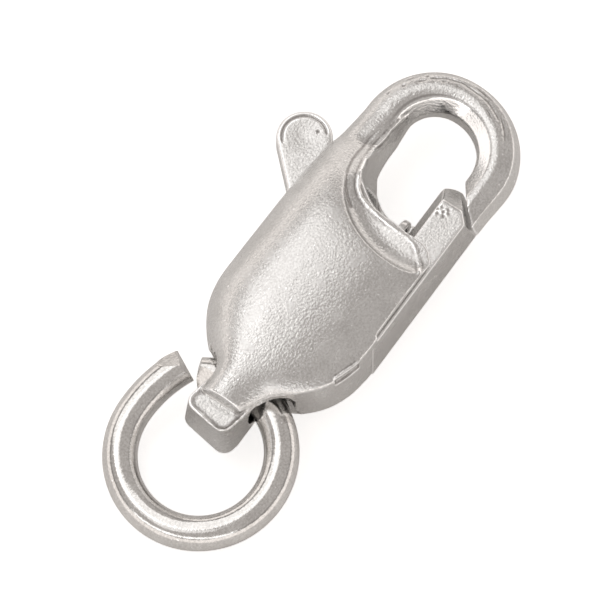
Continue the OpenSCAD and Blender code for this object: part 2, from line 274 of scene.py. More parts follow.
def smoothed(bm: BMesh, verts: Sequence[BMVert], times: int) -> None:
    """Smooth vertices of a shape, a number of times.

    Args:
        bm: The shape.
        verts: The vertices that move.
        times: How many times.
    """
    for _ in range(times):
        bmesh.ops.smooth_vert(bm, verts=verts, factor=0.5, use_axis_x=True, use_axis_y=True,
                              use_axis_z=True)


def tree_of(spots: Sequence[Vector]) -> KDTree:
    """Return the search tree of some points.

    Args:
        spots: The points.

    Returns:
        The tree, which finds each by its number in the order.
    """
    tree = KDTree(len(spots))
    for i, spot in enumerate(spots):
        tree.insert(spot, i)
    tree.balance()
    return tree


def settled(obj: Object) -> None:
    """Turn an object's modifiers into its mesh.

    Args:
        obj: The object.
    """
    seen = obj.evaluated_get(bpy.context.evaluated_depsgraph_get())
    mesh = bpy.data.meshes.new_from_object(seen)
    old = obj.data
    obj.modifiers.clear()
    obj.data = mesh
    mesh.name = obj.name
    bpy.data.meshes.remove(old)


def worked(obj: Object, how: Join, *tools: BMesh) -> None:
    """Cut tools out of an object one by one, or keep what lies inside them.

    Args:
        obj: The object.
        how: Whether the tools cut or keep.
        tools: Closed shapes, which are freed.
    """
    for tool in tools:
        cutter = in_world("cutter", tool)
        step = obj.modifiers.new("work", "BOOLEAN")
        step.operation = how.value
        step.solver = "EXACT"
        step.object = cutter
        settled(obj)
        bpy.data.meshes.remove(cutter.data)


def added(obj: Object, others: Iterable[BMesh]) -> None:
    """Put more closed shapes into an object's mesh, for a later remesh to fuse.

    Args:
        obj: The object.
        others: Closed shapes, which are freed.
    """
    bm = bmesh.new()
    bm.from_mesh(obj.data)
    for other in others:
        extra = bpy.data.meshes.new("extra")
        other.to_mesh(extra)
        other.free()
        bm.from_mesh(extra)
        bpy.data.meshes.remove(extra)
    bm.to_mesh(obj.data)
    bm.free()


def remeshed(obj: Object, voxel: float) -> None:
    """Remesh an object's closed shapes into one skin.

    Args:
        obj: The object.
        voxel: The voxel, in millimetres.
    """
    skin = obj.modifiers.new("skin", "REMESH")
    skin.mode = "VOXEL"
    skin.voxel_size = voxel
    settled(obj)


def fused(obj: Object, fineness: Fineness, soften: Callable[[BMesh], None]) -> None:
    """Fuse an object's closed shapes into one cast skin.

    Args:
        obj: The object, in millimetres.
        fineness: The voxel and the most triangles.
        soften: Smooths the dense skin before it is thinned.
    """
    remeshed(obj, fineness.voxel)
    bm = bmesh.new()
    bm.from_mesh(obj.data)
    soften(bm)
    faces = 2 * len(bm.faces)
    bm.to_mesh(obj.data)
    bm.free()
    if faces > fineness.triangles:
        thin = obj.modifiers.new("thin", "DECIMATE")
        thin.ratio = fineness.triangles / faces
        settled(obj)


def edges_marked(obj: Object) -> None:
    """Write how much each vertex lies on a sharp edge, and in a crevice, as attributes.

    Args:
        obj: The object, in millimetres.
    """
    # Radians of bend to the millimetre where a mark begins, and how much more fills it
    edge_from, edge_span = 2.2, 4.5
    crevice_from, crevice_span = 0.8, 3.0
    bm = bmesh.new()
    bm.from_mesh(obj.data)
    bend = []
    for vert in bm.verts:
        edges = vert.link_edges
        turn = sum(e.calc_face_angle_signed(0.0) for e in edges)
        bend.append(turn / max(sum(e.calc_length() for e in edges), 1e-6))
    for _ in range(2):
        bend = [0.5 * bend[v.index] + 0.5 * sum(bend[e.other_vert(v).index]
                                                for e in v.link_edges) / len(v.link_edges)
                for v in bm.verts]
    # The edge mark paints a white highlight into the materials' colour, and the crevice mark
    # paints shade
    edge = bm.verts.layers.float.new("edge")
    crevice = bm.verts.layers.float.new("crevice")
    for vert in bm.verts:
        vert[edge] = eased((bend[vert.index] - edge_from) / edge_span)
        vert[crevice] = eased((-bend[vert.index] - crevice_from) / crevice_span)
    bm.to_mesh(obj.data)
    bm.free()


def in_metres(obj: Object) -> Object:
    """Scale a finished mesh to metres, and shade it smooth.

    Args:
        obj: The object, in millimetres.

    Returns:
        The same object.
    """
    obj.data.transform(Matrix.Scale(MM, 4))
    obj.data.shade_smooth()
    return obj


@dataclass(frozen=True)
class Section:
    """A section of the shell: its place along it, then shares of the named sizes."""

    at: float
    tab: float
    gate: float
    rise: float
    depth: float
    ridge: float


SECTIONS = (
    Section(0.00, 0.31, 0.25, 0.53, 0.55, 0.0),
    Section(0.05, 0.31, 0.34, 0.60, 0.66, 0.0),
    Section(0.09, 0.35, 0.44, 0.66, 0.73, 0.0),
    Section(0.13, 0.51, 0.62, 0.72, 0.79, 0.0),
    Section(0.19, 0.74, 0.82, 0.80, 0.86, 0.0),
    Section(0.26, 0.92, 0.94, 0.88, 0.94, 0.0),
    Section(0.34, 1.00, 0.99, 0.94, 1.05, 0.0),
    Section(0.44, 1.00, 1.00, 0.98, 1.12, 0.0),
    Section(0.54, 0.99, 1.00, 1.00, 1.14, 0.0),
    Section(0.64, 0.98, 1.00, 0.98, 1.12, 0.05),
    Section(0.72, 0.97, 1.00, 0.91, 1.05, 0.20),
    Section(0.79, 0.96, 1.00, 0.79, 0.91, 0.50),
    Section(0.86, 0.95, 1.00, 0.63, 0.72, 0.80),
    Section(0.93, 0.93, 1.00, 0.46, 0.55, 0.96),
    Section(1.00, 0.76, 1.00, 0.24, 0.29, 1.00),
)


def smooth_at(rows: Sequence[object], at: float, key: str, column: str) -> float:
    """Return a column of a table at a place between its rows, smoothed.

    Args:
        rows: The table, in the order of its key.
        at: The place, on the scale of the key.
        key: The name of the column that places the rows.
        column: The name of the column that is read.

    Returns:
        The value there.
    """
    places = [getattr(row, key) for row in rows]
    row = max(i for i, place in enumerate(places[:-1]) if i == 0 or place <= at)
    near = [min(max(row + k, 0), len(rows) - 1) for k in (-1, 0, 1, 2)]
    a, b, c, d = (places[i] for i in near)
    va, vb, vc, vd = (getattr(rows[i], column) for i in near)
    span = c - b
    t = (at - b) / span
    slope_b = span * (vc - va) / (c - a)
    slope_c = span * (vd - vb) / (d - b)
    return ((2 * t**3 - 3 * t**2 + 1) * vb + (t**3 - 2 * t**2 + t) * slope_b
            + (3 * t**2 - 2 * t**3) * vc + (t**3 - t**2) * slope_c)


def shell_share(along: float, column: str) -> float:
    """Return a column of SECTIONS at a share of the shell's length."""
    return smooth_at(SECTIONS, along, "at", column)


def bulge(value: float, power: float) -> float:
    """Return a superellipse's cosine or sine from a circle's."""
    return math.copysign(abs(value) ** (2.0 / power), value)


@dataclass(frozen=True)
class Wire:
    """A stretch of round wire in the mid plane that bends round to the hook's free end."""

    leg_y: float
    nose_x: float
    nose_y: float
    end_y: float
    thick: float
    root_thick: float
    mid_z: float
    # Where the wire starts, and where its free end would reach without the cut
    start_x: float
    reach_x: float
    # How far out the flats lie, as shares of the radius: round the throat and outside
    throat_flat: float = 0.93
    outer_flat: float = 0.92

    @property
    def upper(self) -> Vector:
        """The middle of the bend from the leg to the nose."""
        return Vector((self.nose_x - (self.leg_y - self.nose_y), self.nose_y))

    @property
    def lower(self) -> Vector:
        """The middle of the bend from the nose to the free end."""
        return Vector((self.nose_x - (self.nose_y - self.end_y), self.nose_y))

    def lengths(self) -> tuple[float, float, float, float]:
        """Return the lengths of the leg, the two bends and the free end.

        Returns:
            The four lengths, in that order.
        """
        quarter = math.pi / 2
        return (self.upper.x - self.start_x, quarter * (self.leg_y - self.nose_y),
                quarter * (self.nose_y - self.end_y), self.lower.x - self.reach_x)

    def spine(self, share: float) -> tuple[Vector, Vector]:
        """Return the middle of the wire and its outward side at a share of its length.

        Args:
            share: The share of the wire's length, from the leg on.

        Returns:
            The point and the direction, in plan.
        """
        leg, first, second, end = self.lengths()
        run = share * (leg + first + second + end)
        if run <= leg:
            return Vector((self.start_x + run, self.leg_y)), Vector((0.0, 1.0))
        run -= leg
        if run <= first:
            out = outward(90.0 - 90.0 * run / first)
            return self.upper + out * (self.leg_y - self.nose_y), out
        run -= first
        if run <= second:
            out = outward(-90.0 * run / second)
            return self.lower + out * (self.nose_y - self.end_y), out
        return Vector((self.lower.x - (run - second), self.end_y)), Vector((0.0, -1.0))

    def bar(self) -> BMesh:
        """Sweep the wire, with flats round the throat and a flatter outside on the hook.

        Returns:
            The bar, closed at both ends.
        """
        leg_turn = math.radians(33.0)
        leg_flat = 0.92
        # The shoulders between the flats: how far out they lie on the hook
        shoulder = 0.93
        taper_from, taper_to = self.upper.x - 1.7, self.upper.x + 0.4
        # The free end's outside is shaved
        shave, shave_from, shave_run = 0.08, 5.2, 1.6

        def place(share: float, around: float) -> Vector:
            """Return a point of the wire's skin.

            Args:
                share: The share of the wire's length.
                around: The share of a turn round the wire.

            Returns:
                The point.
            """
            spot, out = self.spine(share)
            full = mix(self.root_thick, self.thick,
                       eased((spot.x - taper_from) / (taper_to - taper_from)))
            if out.y < 0.0:
                full = self.thick
            turn = math.remainder(math.tau * around, math.tau)
            radius = 1.0
            bent = eased(0.6 - 0.6 * out.y)
            bend_turn = math.radians(mix(50.0, 44.0, max(out.y, 0.0)))
            flats = ((math.pi - mix(leg_turn, bend_turn, bent),
                      mix(leg_flat, self.throat_flat, bent)),
                     (math.pi, mix(1.0, shoulder, bent)),
                     (math.radians(22.0), mix(1.0, self.outer_flat, bent)),
                     (math.radians(68.0), mix(1.0, shoulder, bent)))
            for toward, depth in flats:
                facing = math.cos(toward - abs(turn))
                if facing > 0.0:
                    radius = min(radius, depth / facing)
            radius *= full / 2
            shaved = shave * eased((shave_from - spot.x) / shave_run) if out.y < -0.5 else 0.0
            side = out * (radius * math.cos(turn) - shaved * max(math.cos(turn), 0.0))
            return Vector((spot.x + side.x, spot.y + side.y,
                           self.mid_z + radius * math.sin(turn)))

        return wrapped(240, 96, place)


@dataclass(frozen=True)
class Wall:
    """A direction from the throat's middle: the wall's distance there, and how it leans out."""

    turn: float
    reach: float
    lean: float


@dataclass(frozen=True)
class Nick:
    """A nick that a tool left on the hook: its direction from the bend, place and size."""

    turn: float
    reach: float
    long: float
    wide: float
    depth: float


NICKS = (
    Nick(78.0, 1.74, 0.10, 0.03, 0.02), Nick(63.0, 1.66, 0.07, 0.04, 0.03),
    Nick(55.0, 1.80, 0.16, 0.03, 0.025), Nick(46.0, 1.62, 0.12, 0.03, 0.03),
    Nick(41.0, 1.74, 0.06, 0.04, 0.03), Nick(34.0, 1.66, 0.20, 0.03, 0.03),
    Nick(27.0, 1.57, 0.07, 0.05, 0.03), Nick(17.0, 1.68, 0.30, 0.03, 0.03),
    Nick(12.0, 1.52, 0.10, 0.03, 0.02), Nick(-3.0, 1.64, 0.34, 0.03, 0.03),
    Nick(-9.0, 1.74, 0.22, 0.025, 0.02), Nick(-26.0, 1.66, 0.34, 0.03, 0.025),
    Nick(-30.0, 1.50, 0.18, 0.03, 0.02), Nick(-46.0, 1.74, 0.3, 0.03, 0.025),
)


# The wall round the throat, from the gate's side round by the hook and the leg
THROAT = (
    Wall(-90.0, 0.80, 0.0), Wall(-60.0, 0.80, 0.0), Wall(-30.0, 1.20, 0.0),
    Wall(0.0, 1.45, 0.0), Wall(20.0, 1.45, 0.0), Wall(40.0, 1.36, 0.0),
    Wall(55.0, 1.27, 0.15), Wall(70.0, 1.215, 0.25), Wall(84.0, 1.18, 0.30),
    Wall(98.0, 1.18, 0.28), Wall(110.0, 1.205, 0.28), Wall(124.0, 1.25, 0.29),
    Wall(138.0, 1.29, 0.32), Wall(153.0, 1.328, 0.34), Wall(167.0, 1.378, 0.36),
    Wall(186.0, 1.43, 0.35), Wall(200.0, 1.475, 0.33), Wall(225.0, 1.53, 0.2),
    Wall(240.0, 1.45, 0.0), Wall(255.0, 1.1, 0.0), Wall(270.0, 0.80, 0.0),
)


# The line of the rim, from the gate side round the collar and along the leg to the hook
RIM = (
    (1.4, -2.38, 2.84), (1.65, -2.2, 2.76), (1.88, -1.95, 2.76), (2, -1.75, 2.78),
    (2.06, -1.5, 2.79), (2.07, -1.22, 2.78), (2.1, -0.95, 2.77), (2.14, -0.62, 2.76),
    (2.24, -0.25, 2.73), (2.36, 0.05, 2.75), (2.52, 0.25, 2.75), (2.71, 0.38, 2.75),
    (2.97, 0.5, 2.66), (3.38, 0.62, 2.44), (3.9, 0.7, 2.13), (4.26, 0.67, 2.05),
    (4.6, 0.66, 2.01), (4.95, 0.62, 1.92), (5.29, 0.54, 1.77), (5.52, 0.4, 1.7),
    (5.7, 0.21, 1.67),
)


# The fold that carries the crease on, up beside the rim and along the leg
FOLD = (
    (1.99, 0.1, 2.82), (2.16, 0.31, 2.85), (2.35, 0.5, 2.88), (2.56, 0.64, 2.87),
    (2.85, 0.78, 2.73), (3.21, 0.88, 2.55), (3.6, 0.92, 2.34), (3.98, 0.94, 2.18),
    (4.37, 0.9, 2.13), (4.78, 0.84, 2.07), (5.12, 0.74, 2),
)


@dataclass
class ClawBody:
    """The casting: shell, collar, hook and tail, with its slots and its eye."""

    shell_front: float = 4.2
    shell_back: float = 4.05
    tab_side: float = 1.98
    gate_side: float = 2.5
    dome_h: float = 1.8
    back_h: float = 1.5
    side_wall: float = 0.45
    floor_t: float = 0.65
    collar_t: float = 0.28
    hook_wire: float = 1.16
    leg_d: float = 1.44
    nose_front: float = 7.05
    leg_side: float = 1.04
    end_side: float = 2.16
    nose_side: float = 0.4
    mouth_r: float = 1.42
    rim_out_r: float = 2.65
    crease_r: float = 2.6
    corner_r: float = 0.72
    tail_out: float = 0.67
    tail_w: float = 1.48
    tail_skirt: float = 0.1
    tail_h: float = 1.24
    eye_in: float = 0.87
    eye_d: float = 1.4
    tail_skew: float = 10.0
    slot_gap: float = 0.05
    tip_gap: float = 0.08

    @property
    def mid_z(self) -> float:
        """Height of the mid plane over the back."""
        return self.back_h

    @property
    def length(self) -> float:
        """Length of the shell."""
        return self.shell_front + self.shell_back

    @property
    def slot_z1(self) -> float:
        """Height of the roof of the lever's slot."""
        return self.floor_t + 2 * self.slot_gap + GateLever.lever_h

    @property
    def mouth(self) -> Vector:
        """The middle of the mouth's round end."""
        return Vector((self.shell_front - 0.1,
                       self.leg_side - self.leg_d / 2 - self.mouth_r + 0.15))

    @property
    def throat(self) -> Vector:
        """The point that the throat's wall is measured from."""
        return Vector((self.shell_front - 0.1, -0.75))

    @property
    def rim_out(self) -> Vector:
        """The middle of the wider curve in which the rim runs out to the gate side."""
        return Vector((self.shell_front + 0.65, -self.gate_side + 0.9))

    @property
    def crease(self) -> Vector:
        """The middle of the crease between the dome and the collar."""
        return Vector((self.shell_front - 0.45, -self.gate_side + 0.9))

    @property
    def eye(self) -> Vector:
        """The middle of the tail's eye, as X and height."""
        return Vector((-self.shell_back + self.eye_in, self.mid_z - 0.02))

    def shell_point(self, along: float, around: float) -> Vector:
        """Return a point of the shell's skin, before its gate side is cut back.

        Args:
            along: The share of the shell's length, from the tail.
            around: The share of a turn, from the tab's side over the top.

        Returns:
            The point.
        """
        overreach_top = 1.36
        overreach_back = 1.05
        close_from = 0.78
        power_top, power_back = 2.2, 1.9
        turn = math.tau * around
        ridge = self.leg_side * shell_share(along, "ridge")
        tab = self.tab_side * shell_share(along, "tab") - ridge
        gate = self.gate_side * shell_share(along, "gate")
        close = max(0.0, (along - close_from) / (1.0 - close_from))
        on_top = math.sin(turn) > 0.0
        power = mix(power_top if on_top else power_back, 2.0, close)
        overreach = overreach_top if on_top else overreach_back
        side = tab if math.cos(turn) > 0.0 else mix(gate * overreach + ridge, tab, close)
        height = self.dome_h * shell_share(along, "rise") if on_top \
            else self.back_h * shell_share(along, "depth")
        return Vector((-self.shell_back + along * self.length,
                       ridge + side * bulge(math.cos(turn), power),
                       self.mid_z + height * bulge(math.sin(turn), power)))

    def side_outline(self) -> list[Vector]:
        """Return the plan outline that the gate side is cut back to.

        Returns:
            The outline's points, in order.
        """
        side_until = 0.6
        reach = self.rim_out.y + self.gate_side - self.corner_r
        corner = Vector((self.rim_out.x - math.sqrt((self.rim_out_r + self.corner_r) ** 2
                                                    - reach**2),
                         -self.gate_side + self.corner_r))
        until = math.degrees(math.atan2(self.rim_out.y - corner.y, self.rim_out.x - corner.x))
        steps = 32
        side = [Vector((-self.shell_back + side_until * i / steps * self.length,
                        -self.gate_side * shell_share(side_until * i / steps, "gate")))
                for i in range(steps + 1)]
        turn = [polar(corner, self.corner_r, mix(-90.0, until, i / 12)) for i in range(13)]
        edge = [Vector((-FAR, side[0].y))]
        return edge + side + turn + [self.mouth, Vector((FAR, self.mouth.y)),
                                     Vector((FAR, FAR)), Vector((-FAR, FAR))]

    def crease_tool(self) -> BMesh:
        """Turn the tool that leaves the collar, with a wide hollow foot and a raised lip.

        Returns:
            The closed tool.
        """
        collar_z = self.slot_z1 + self.collar_t
        foot = 0.62
        rise = 0.34
        profile = [(0.0, FAR), (self.crease_r + 0.4, FAR), (self.crease_r + 0.08, collar_z + 0.6)]
        profile += [(self.crease_r - foot + foot * math.cos(math.radians(t)),
                     collar_z - 0.05 + rise * (1 + math.sin(math.radians(t))))
                    for t in range(0, -91, -10)]
        profile += [(self.crease_r - 0.78, collar_z - 0.02), (0.0, collar_z + 0.16)]
        return lathe(profile, self.crease)

    def throat_reach(self, turn: float, height: float) -> float:
        """Return how far the throat's wall stands from its middle.

        Args:
            turn: The direction in degrees, from -90 to 270.
            height: The height over the back.

        Returns:
            The distance in plan.
        """
        lean = smooth_at(THROAT, turn, "turn", "lean")
        return smooth_at(THROAT, turn, "turn", "reach") + lean * max(height - self.mid_z, 0.0)

    def throat_tool(self) -> BMesh:
        """Make the plug that opens the throat, with its wall leaning out to the rim.

        Returns:
            The closed plug.
        """
        levels = (self.floor_t, self.mid_z, 1.9, 2.3, 2.7, 3.1, 4.2)

        def place(along: float, around: float) -> Vector:
            """Return a point of the plug's side.

            Args:
                along: The share of the plug's height.
                around: The share of a turn round it.

            Returns:
                The point.
            """
            height = levels[round(along * (len(levels) - 1))]
            turn = mix(-90.0, 270.0, around)
            spot = polar(self.throat, self.throat_reach(turn, height), turn)
            return Vector((spot.x, spot.y, height))

        return wrapped(len(levels) - 1, 180, place)

    def mouth_tools(self) -> list[BMesh]:
        """Return the tools that open the mouth's floor and run the rim out.

        Returns:
            Two upright rods.
        """
        m = self.mouth
        return [
            rod(self.mouth_r, self.floor_t + 2.0, standing(m.x + 0.3, m.y + 0.2, -1.0)),
            rod(self.rim_out_r, FAR,
                standing(self.rim_out.x, self.rim_out.y, self.slot_z1 - 0.1)),
        ]

    def seam_tools(self, lever: "GateLever") -> list[BMesh]:
        """Return the tools that set the roof back over the lever.

        Args:
            lever: The lever that the roof is set back from.

        Returns:
            Two blocks.
        """
        set_back = 0.08
        undercut = 0.2
        roof = lever.gate_out - self.slot_gap + set_back
        back = Vector((-0.62, -FAR, lever.high))
        return [block(back, Vector((FAR, roof, FAR))),
                block(back, Vector((FAR, roof + undercut, self.slot_z1 + undercut)))]

    def wire(self, start_x: float) -> Wire:
        """Return the hook's wire, from a place along the leg to past the free end.

        Args:
            start_x: Where the wire starts.

        Returns:
            The wire.
        """
        return Wire(leg_y=self.leg_side, nose_x=self.nose_front - self.hook_wire / 2,
                    nose_y=-self.nose_side, end_y=-self.end_side, thick=self.hook_wire,
                    root_thick=self.leg_d, mid_z=self.mid_z, start_x=start_x, reach_x=2.6)

    def hook(self, start_x: float) -> BMesh:
        """Sweep the hook and cut its free end in the slanted plane, with a rounded rim.

        Args:
            start_x: Where the wire starts.

        Returns:
            The closed hook.
        """

        def at_end(vert: BMVert) -> bool:
            """Tell whether a vertex is by the hook's free end."""
            return vert.co.y < -1.0 and vert.co.x < 5.5

        rim_r = 0.07
        bm = self.wire(start_x).bar()
        under = Vector((3.70, -self.end_side - 0.46, self.mid_z - 0.4))
        cuts = (GateLever().slant(self.tip_gap), (under, Vector((1.0, 0.3, 0.3))))
        for spot, facing in cuts:
            near = [v for v in bm.verts if at_end(v)]
            edges = {e for v in near for e in v.link_edges}
            faces = {f for v in near for f in v.link_faces}
            bmesh.ops.bisect_plane(bm, geom=[*near, *edges, *faces], plane_co=spot,
                                   plane_no=facing, clear_inner=True)
            closed(bm)
        rim = [e for e in sharp_edges(bm, 0.7) if all(at_end(v) for v in e.verts)]
        bevelled(bm, rim, rim_r, 3, clamp=True)
        return closed(bm)

    def tail(self) -> BMesh:
        """Make the tail's block, wider below, with a flat facet on top and stepped bevels.

        Returns:
            The block, in its place.
        """
        half = self.tail_h / 2
        narrowing, set_in, corner_r, tilt = 0.88, 0.05, 0.3, 0.1
        low = Vector((-self.tail_out, -self.tail_w / 2 - self.tail_skirt, -half))
        high = Vector((self.eye_in, self.tail_w / 2, half))
        bm = block(low, high)
        for vert in bm.verts:
            if vert.co.z > 0.0:
                vert.co.y *= narrowing
                vert.co.x += set_in if vert.co.x < 0.0 else 0.0
        upright = [e for e in bm.edges if all(v.co.x < 0 for v in e.verts)
                   and abs(e.verts[0].co.z - e.verts[1].co.z) > half]
        bevelled(bm, upright, corner_r, 6)
        # The top goes in and up in two steps, which leave its facet in the middle
        for offset, lift in ((0.06, 0.05), (0.03, 0.04)):
            lid = max((f for f in bm.faces if f.normal.z > 0.9), key=lambda f: f.calc_area())
            bmesh.ops.inset_region(bm, faces=[lid], thickness=offset, depth=-lift)
        for vert in bm.verts:
            vert.co.x = min(vert.co.x, high.x)
            vert.co.z -= tilt * vert.co.y if vert.co.z > half - 0.01 else 0.0
        place = standing(-self.shell_back, 0.0, self.eye.y) @ turned(-self.tail_skew, "Z")
        bmesh.ops.transform(bm, matrix=place, verts=bm.verts)
        return bm

    def ring_room(self) -> list[BMesh]:
        """Return the tools of the eye and of the room beside it that the ring needs.

        Returns:
            A rod for the eye, and a prism on either side of it.
        """
        ring = JumpRing()
        half = self.tail_w / 2 + self.tail_skirt
        lap = 0.05
        steps = 96
        lying = standing(self.eye.x, half, self.eye.y) @ turned(90.0, "X")
        tools = [rod(self.eye_d / 2, 2 * half, lying)]
        room = ring.outer_d / 2 + ring.room_gap
        for side in (-1, 1):
            reach = side * (half - lap) - ring.middle.y
            turn = math.degrees(math.asin(reach / room))
            arc = [polar(ring.middle.xy, room, mix(turn, side * 180.0 - turn, i / steps))
                   for i in range(steps + 1)]
            tools.append(prism(arc, self.eye.y - self.eye_d / 2, self.eye.y + 0.5))
        return tools

    def soften(self, bm: BMesh) -> None:
        """Smooth the cast skin, more at the leg's root, and work its fine forms in.

        Args:
            bm: The dense skin.
        """
        root_passes = 90
        root_margin = 0.12

        def near_root(co: Vector) -> bool:
            """Tell whether a point is by the leg's root, outside the throat.

            Args:
                co: The point.

            Returns:
                Whether it is.
            """
            low = self.mid_z + (0.3 if co.y < 1.2 else -0.4)
            if not (2.7 < co.x < 5.0 and co.y > 0.5 and co.z > low):
                return False
            reach = co.xy - self.throat
            return reach.length > self.throat_reach(heading(reach), co.z) + root_margin

        smoothed(bm, bm.verts, 3)
        smoothed(bm, [v for v in bm.verts if near_root(v.co)], root_passes)
        self.nick(bm)
        self.line_drawn(bm, RIM, height=0.055, width=0.05)
        self.line_drawn(bm, FOLD, height=-0.04, width=0.06)
        self.slit(bm)
        self.dimple(bm)
        self.spare_ring(bm)

    def dimple(self, bm: BMesh) -> None:
        """Press a faint oval dimple into the dome over the pin.

        Args:
            bm: The dense skin.
        """
        middle = Vector((-1.93, -1.81))
        half_x, half_y, depth = 0.42, 0.26, 0.012
        for vert in bm.verts:
            if vert.co.z > self.mid_z + 0.4:
                reach = vert.co.xy - middle
                away = math.hypot(reach.x / half_x, reach.y / half_y)
                vert.co.z -= depth * (1.0 - eased((away - 0.55) / 0.6))

    def spare_ring(self, bm: BMesh) -> None:
        """Press the skin back from where the wire comes as the ring swings.

        Args:
            bm: The dense skin.
        """
        ring = JumpRing()
        clear = ring.wire / 2 + ring.swing_gap
        # Only the tail's end of the shell comes near the ring
        near = [v for v in bm.verts if -4.2 < v.co.x < -2.2 and v.co.z < 2.6]
        for turn in ring.swing_turns:
            tree = tree_of(ring.course(turn))
            for vert in near:
                spot, _, away = tree.find(vert.co)
                if away < clear:
                    vert.co += (vert.co - spot) * (clear / away - 1.0)

    def slit(self, bm: BMesh) -> None:
        """Press the shallow slit by the pivot into the shoulder of the gate side.

        Args:
            bm: The dense skin.
        """
        middle = Vector((-1.755, -2.30, 2.42))
        along = outward(-17.5).to_3d()
        inwards = Vector((0.1, 0.55, -0.83)).normalized()
        across = along.cross(inwards)
        half_long, half_wide, depth = 0.4, 0.07, 0.06
        lip_at, lip_width, lip_height = 0.12, 0.035, 0.035
        for vert in bm.verts:
            reach = vert.co - middle
            if reach.length < 2 * half_long:
                long = eased((half_long - abs(reach.dot(along))) / 0.05 + 0.5)
                beside = abs(reach.dot(across))
                wide = eased((half_wide - beside) / 0.04 + 0.5)
                lip = lip_height * bell(beside - lip_at, lip_width)
                vert.co += inwards * (long * (depth * wide - lip))

    def line_drawn(self, bm: BMesh, spots: Sequence[tuple[float, float, float]],
                   height: float, width: float) -> None:
        """Draw a fine bead or groove along a line on the skin, fading out at its far end.

        Args:
            bm: The skin.
            spots: The points of the line.
            height: How far it stands out, or goes in where it is less than 0.
            width: Its half width.
        """
        steps = 8
        fade_run = 3.0
        line = [Vector(spot) for spot in spots]
        runs = [(i, k / steps) for i in range(len(line) - 1) for k in range(steps)]
        tree = tree_of([line[i].lerp(line[i + 1], share) for i, share in runs])
        fades = [eased((len(line) - 2 - i - share) / fade_run) for i, share in runs]
        bm.normal_update()
        moves = []
        for vert in bm.verts:
            if vert.co.z > self.mid_z + 0.3 and vert.normal.z > 0.1:
                _, at, away = tree.find(vert.co)
                if away < 3.0 * width:
                    moves.append((vert, vert.normal * (height * fades[at] * bell(away, width))))
        for vert, move in moves:
            vert.co += move

    def nick(self, bm: BMesh) -> None:
        """Press the tool's nicks into the outer shoulder of the hook.

        Args:
            bm: The dense skin.
        """
        bend = self.wire(0.0).upper
        for vert in bm.verts:
            if vert.co.x < bend.x - 0.4 or vert.co.z < self.mid_z + 0.1:
                continue
            reach = vert.co.xy - bend
            push = 0.0
            for nick in NICKS:
                along = math.radians(heading(reach) - nick.turn) * nick.reach / nick.long
                across = (reach.length - nick.reach) / nick.wide
                if abs(along) < 3.0 and abs(across) < 3.0:
                    push += nick.depth * math.exp(-along**2 - across**2)
            vert.co.z -= push

    def polish(self, body: Object) -> None:
        """Paint highlight through the edge mark onto the hook's inner flats and the tail's facet,
        with a painted dark line along the flats, and keep most of it off the crease.

        Args:
            body: The casting, with its edges marked.
        """
        # How far up the flats face, and the painted dark line along their upper edge, a painted
        # reflection of the room's dark band
        flat_rise, flat_spread = 0.7, 0.18
        line_rise, line_spread = 0.905, 0.035
        fade_from, fade_run = 4.4, 0.8
        # How strong the painted highlight is on the tail's facet, and the share of it kept on the
        # crease
        facet_highlight, crease_highlight_kept = 0.8, 0.2
        marks = body.data.attributes
        for vert, mark, dark in zip(body.data.vertices, marks["edge"].data,
                                    marks["crevice"].data):
            spot, facing = vert.co, vert.normal
            inwards = (self.throat - spot.xy).normalized().dot(facing.xy.normalized())
            if spot.x > self.shell_front and spot.z > self.mid_z and inwards > 0.7:
                share = eased((spot.x - fade_from) / fade_run)
                painted_light_and_wear = 0.9 * eased((flat_spread - abs(facing.z - flat_rise)) / 0.1)
                line = 0.75 * eased((line_spread - abs(facing.z - line_rise)) / 0.02)
                # The flats get painted highlight, which also makes them glossier; their upper
                # edge gets a painted dark line
                mark.value = max(mark.value, painted_light_and_wear * share)
                dark.value = max(dark.value, line * share)
            # The tail's facet gets painted highlight
            elif spot.x < -4.0 and spot.z > self.eye.y + 0.55 and facing.z > 0.9:
                mark.value = max(mark.value, facet_highlight)
            # Most of the painted highlight is taken off the crease
            elif abs((spot.xy - self.crease).length - self.crease_r) < 0.15:
                mark.value *= crease_highlight_kept if spot.z > self.mid_z + 0.4 else 1.0

    def build(self, fineness: Fineness) -> Object:
        """Build the casting.

        Args:
            fineness: How finely its skin is meshed.

        Returns:
            The piece, in metres.
        """
        lever = GateLever()
        body = in_world("claw_casting", wrapped(144, 96, self.shell_point))
        below = block(Vector((-FAR, -FAR, -FAR)), Vector((FAR, FAR, 0.0)))
        worked(body, Join.KEEP, prism(self.side_outline(), -2.0, FAR))
        worked(body, Join.CUT, below, self.crease_tool(), *self.mouth_tools())
        added(body, [self.tail(), self.hook(self.shell_front - 0.9)])
        remeshed(body, fineness.voxel)
        worked(body, Join.CUT, self.throat_tool(), *self.seam_tools(lever),
               *lever.slots(self), *self.ring_room())
        # The cuts reach the hook's free end, so the hook is put in again
        added(body, [self.hook(self.shell_front + 0.6)])
        fused(body, fineness, self.soften)
        edges_marked(body)
        self.polish(body)
        return in_metres(body)


# Casting pits in the gate's top by its tip, in plan
GATE_PITS = ((3.309, -1.636), (3.385, -1.713), (3.188, -1.704), (3.306, -1.816),
             (3.206, -1.875), (3.415, -1.893), (3.338, -1.947))


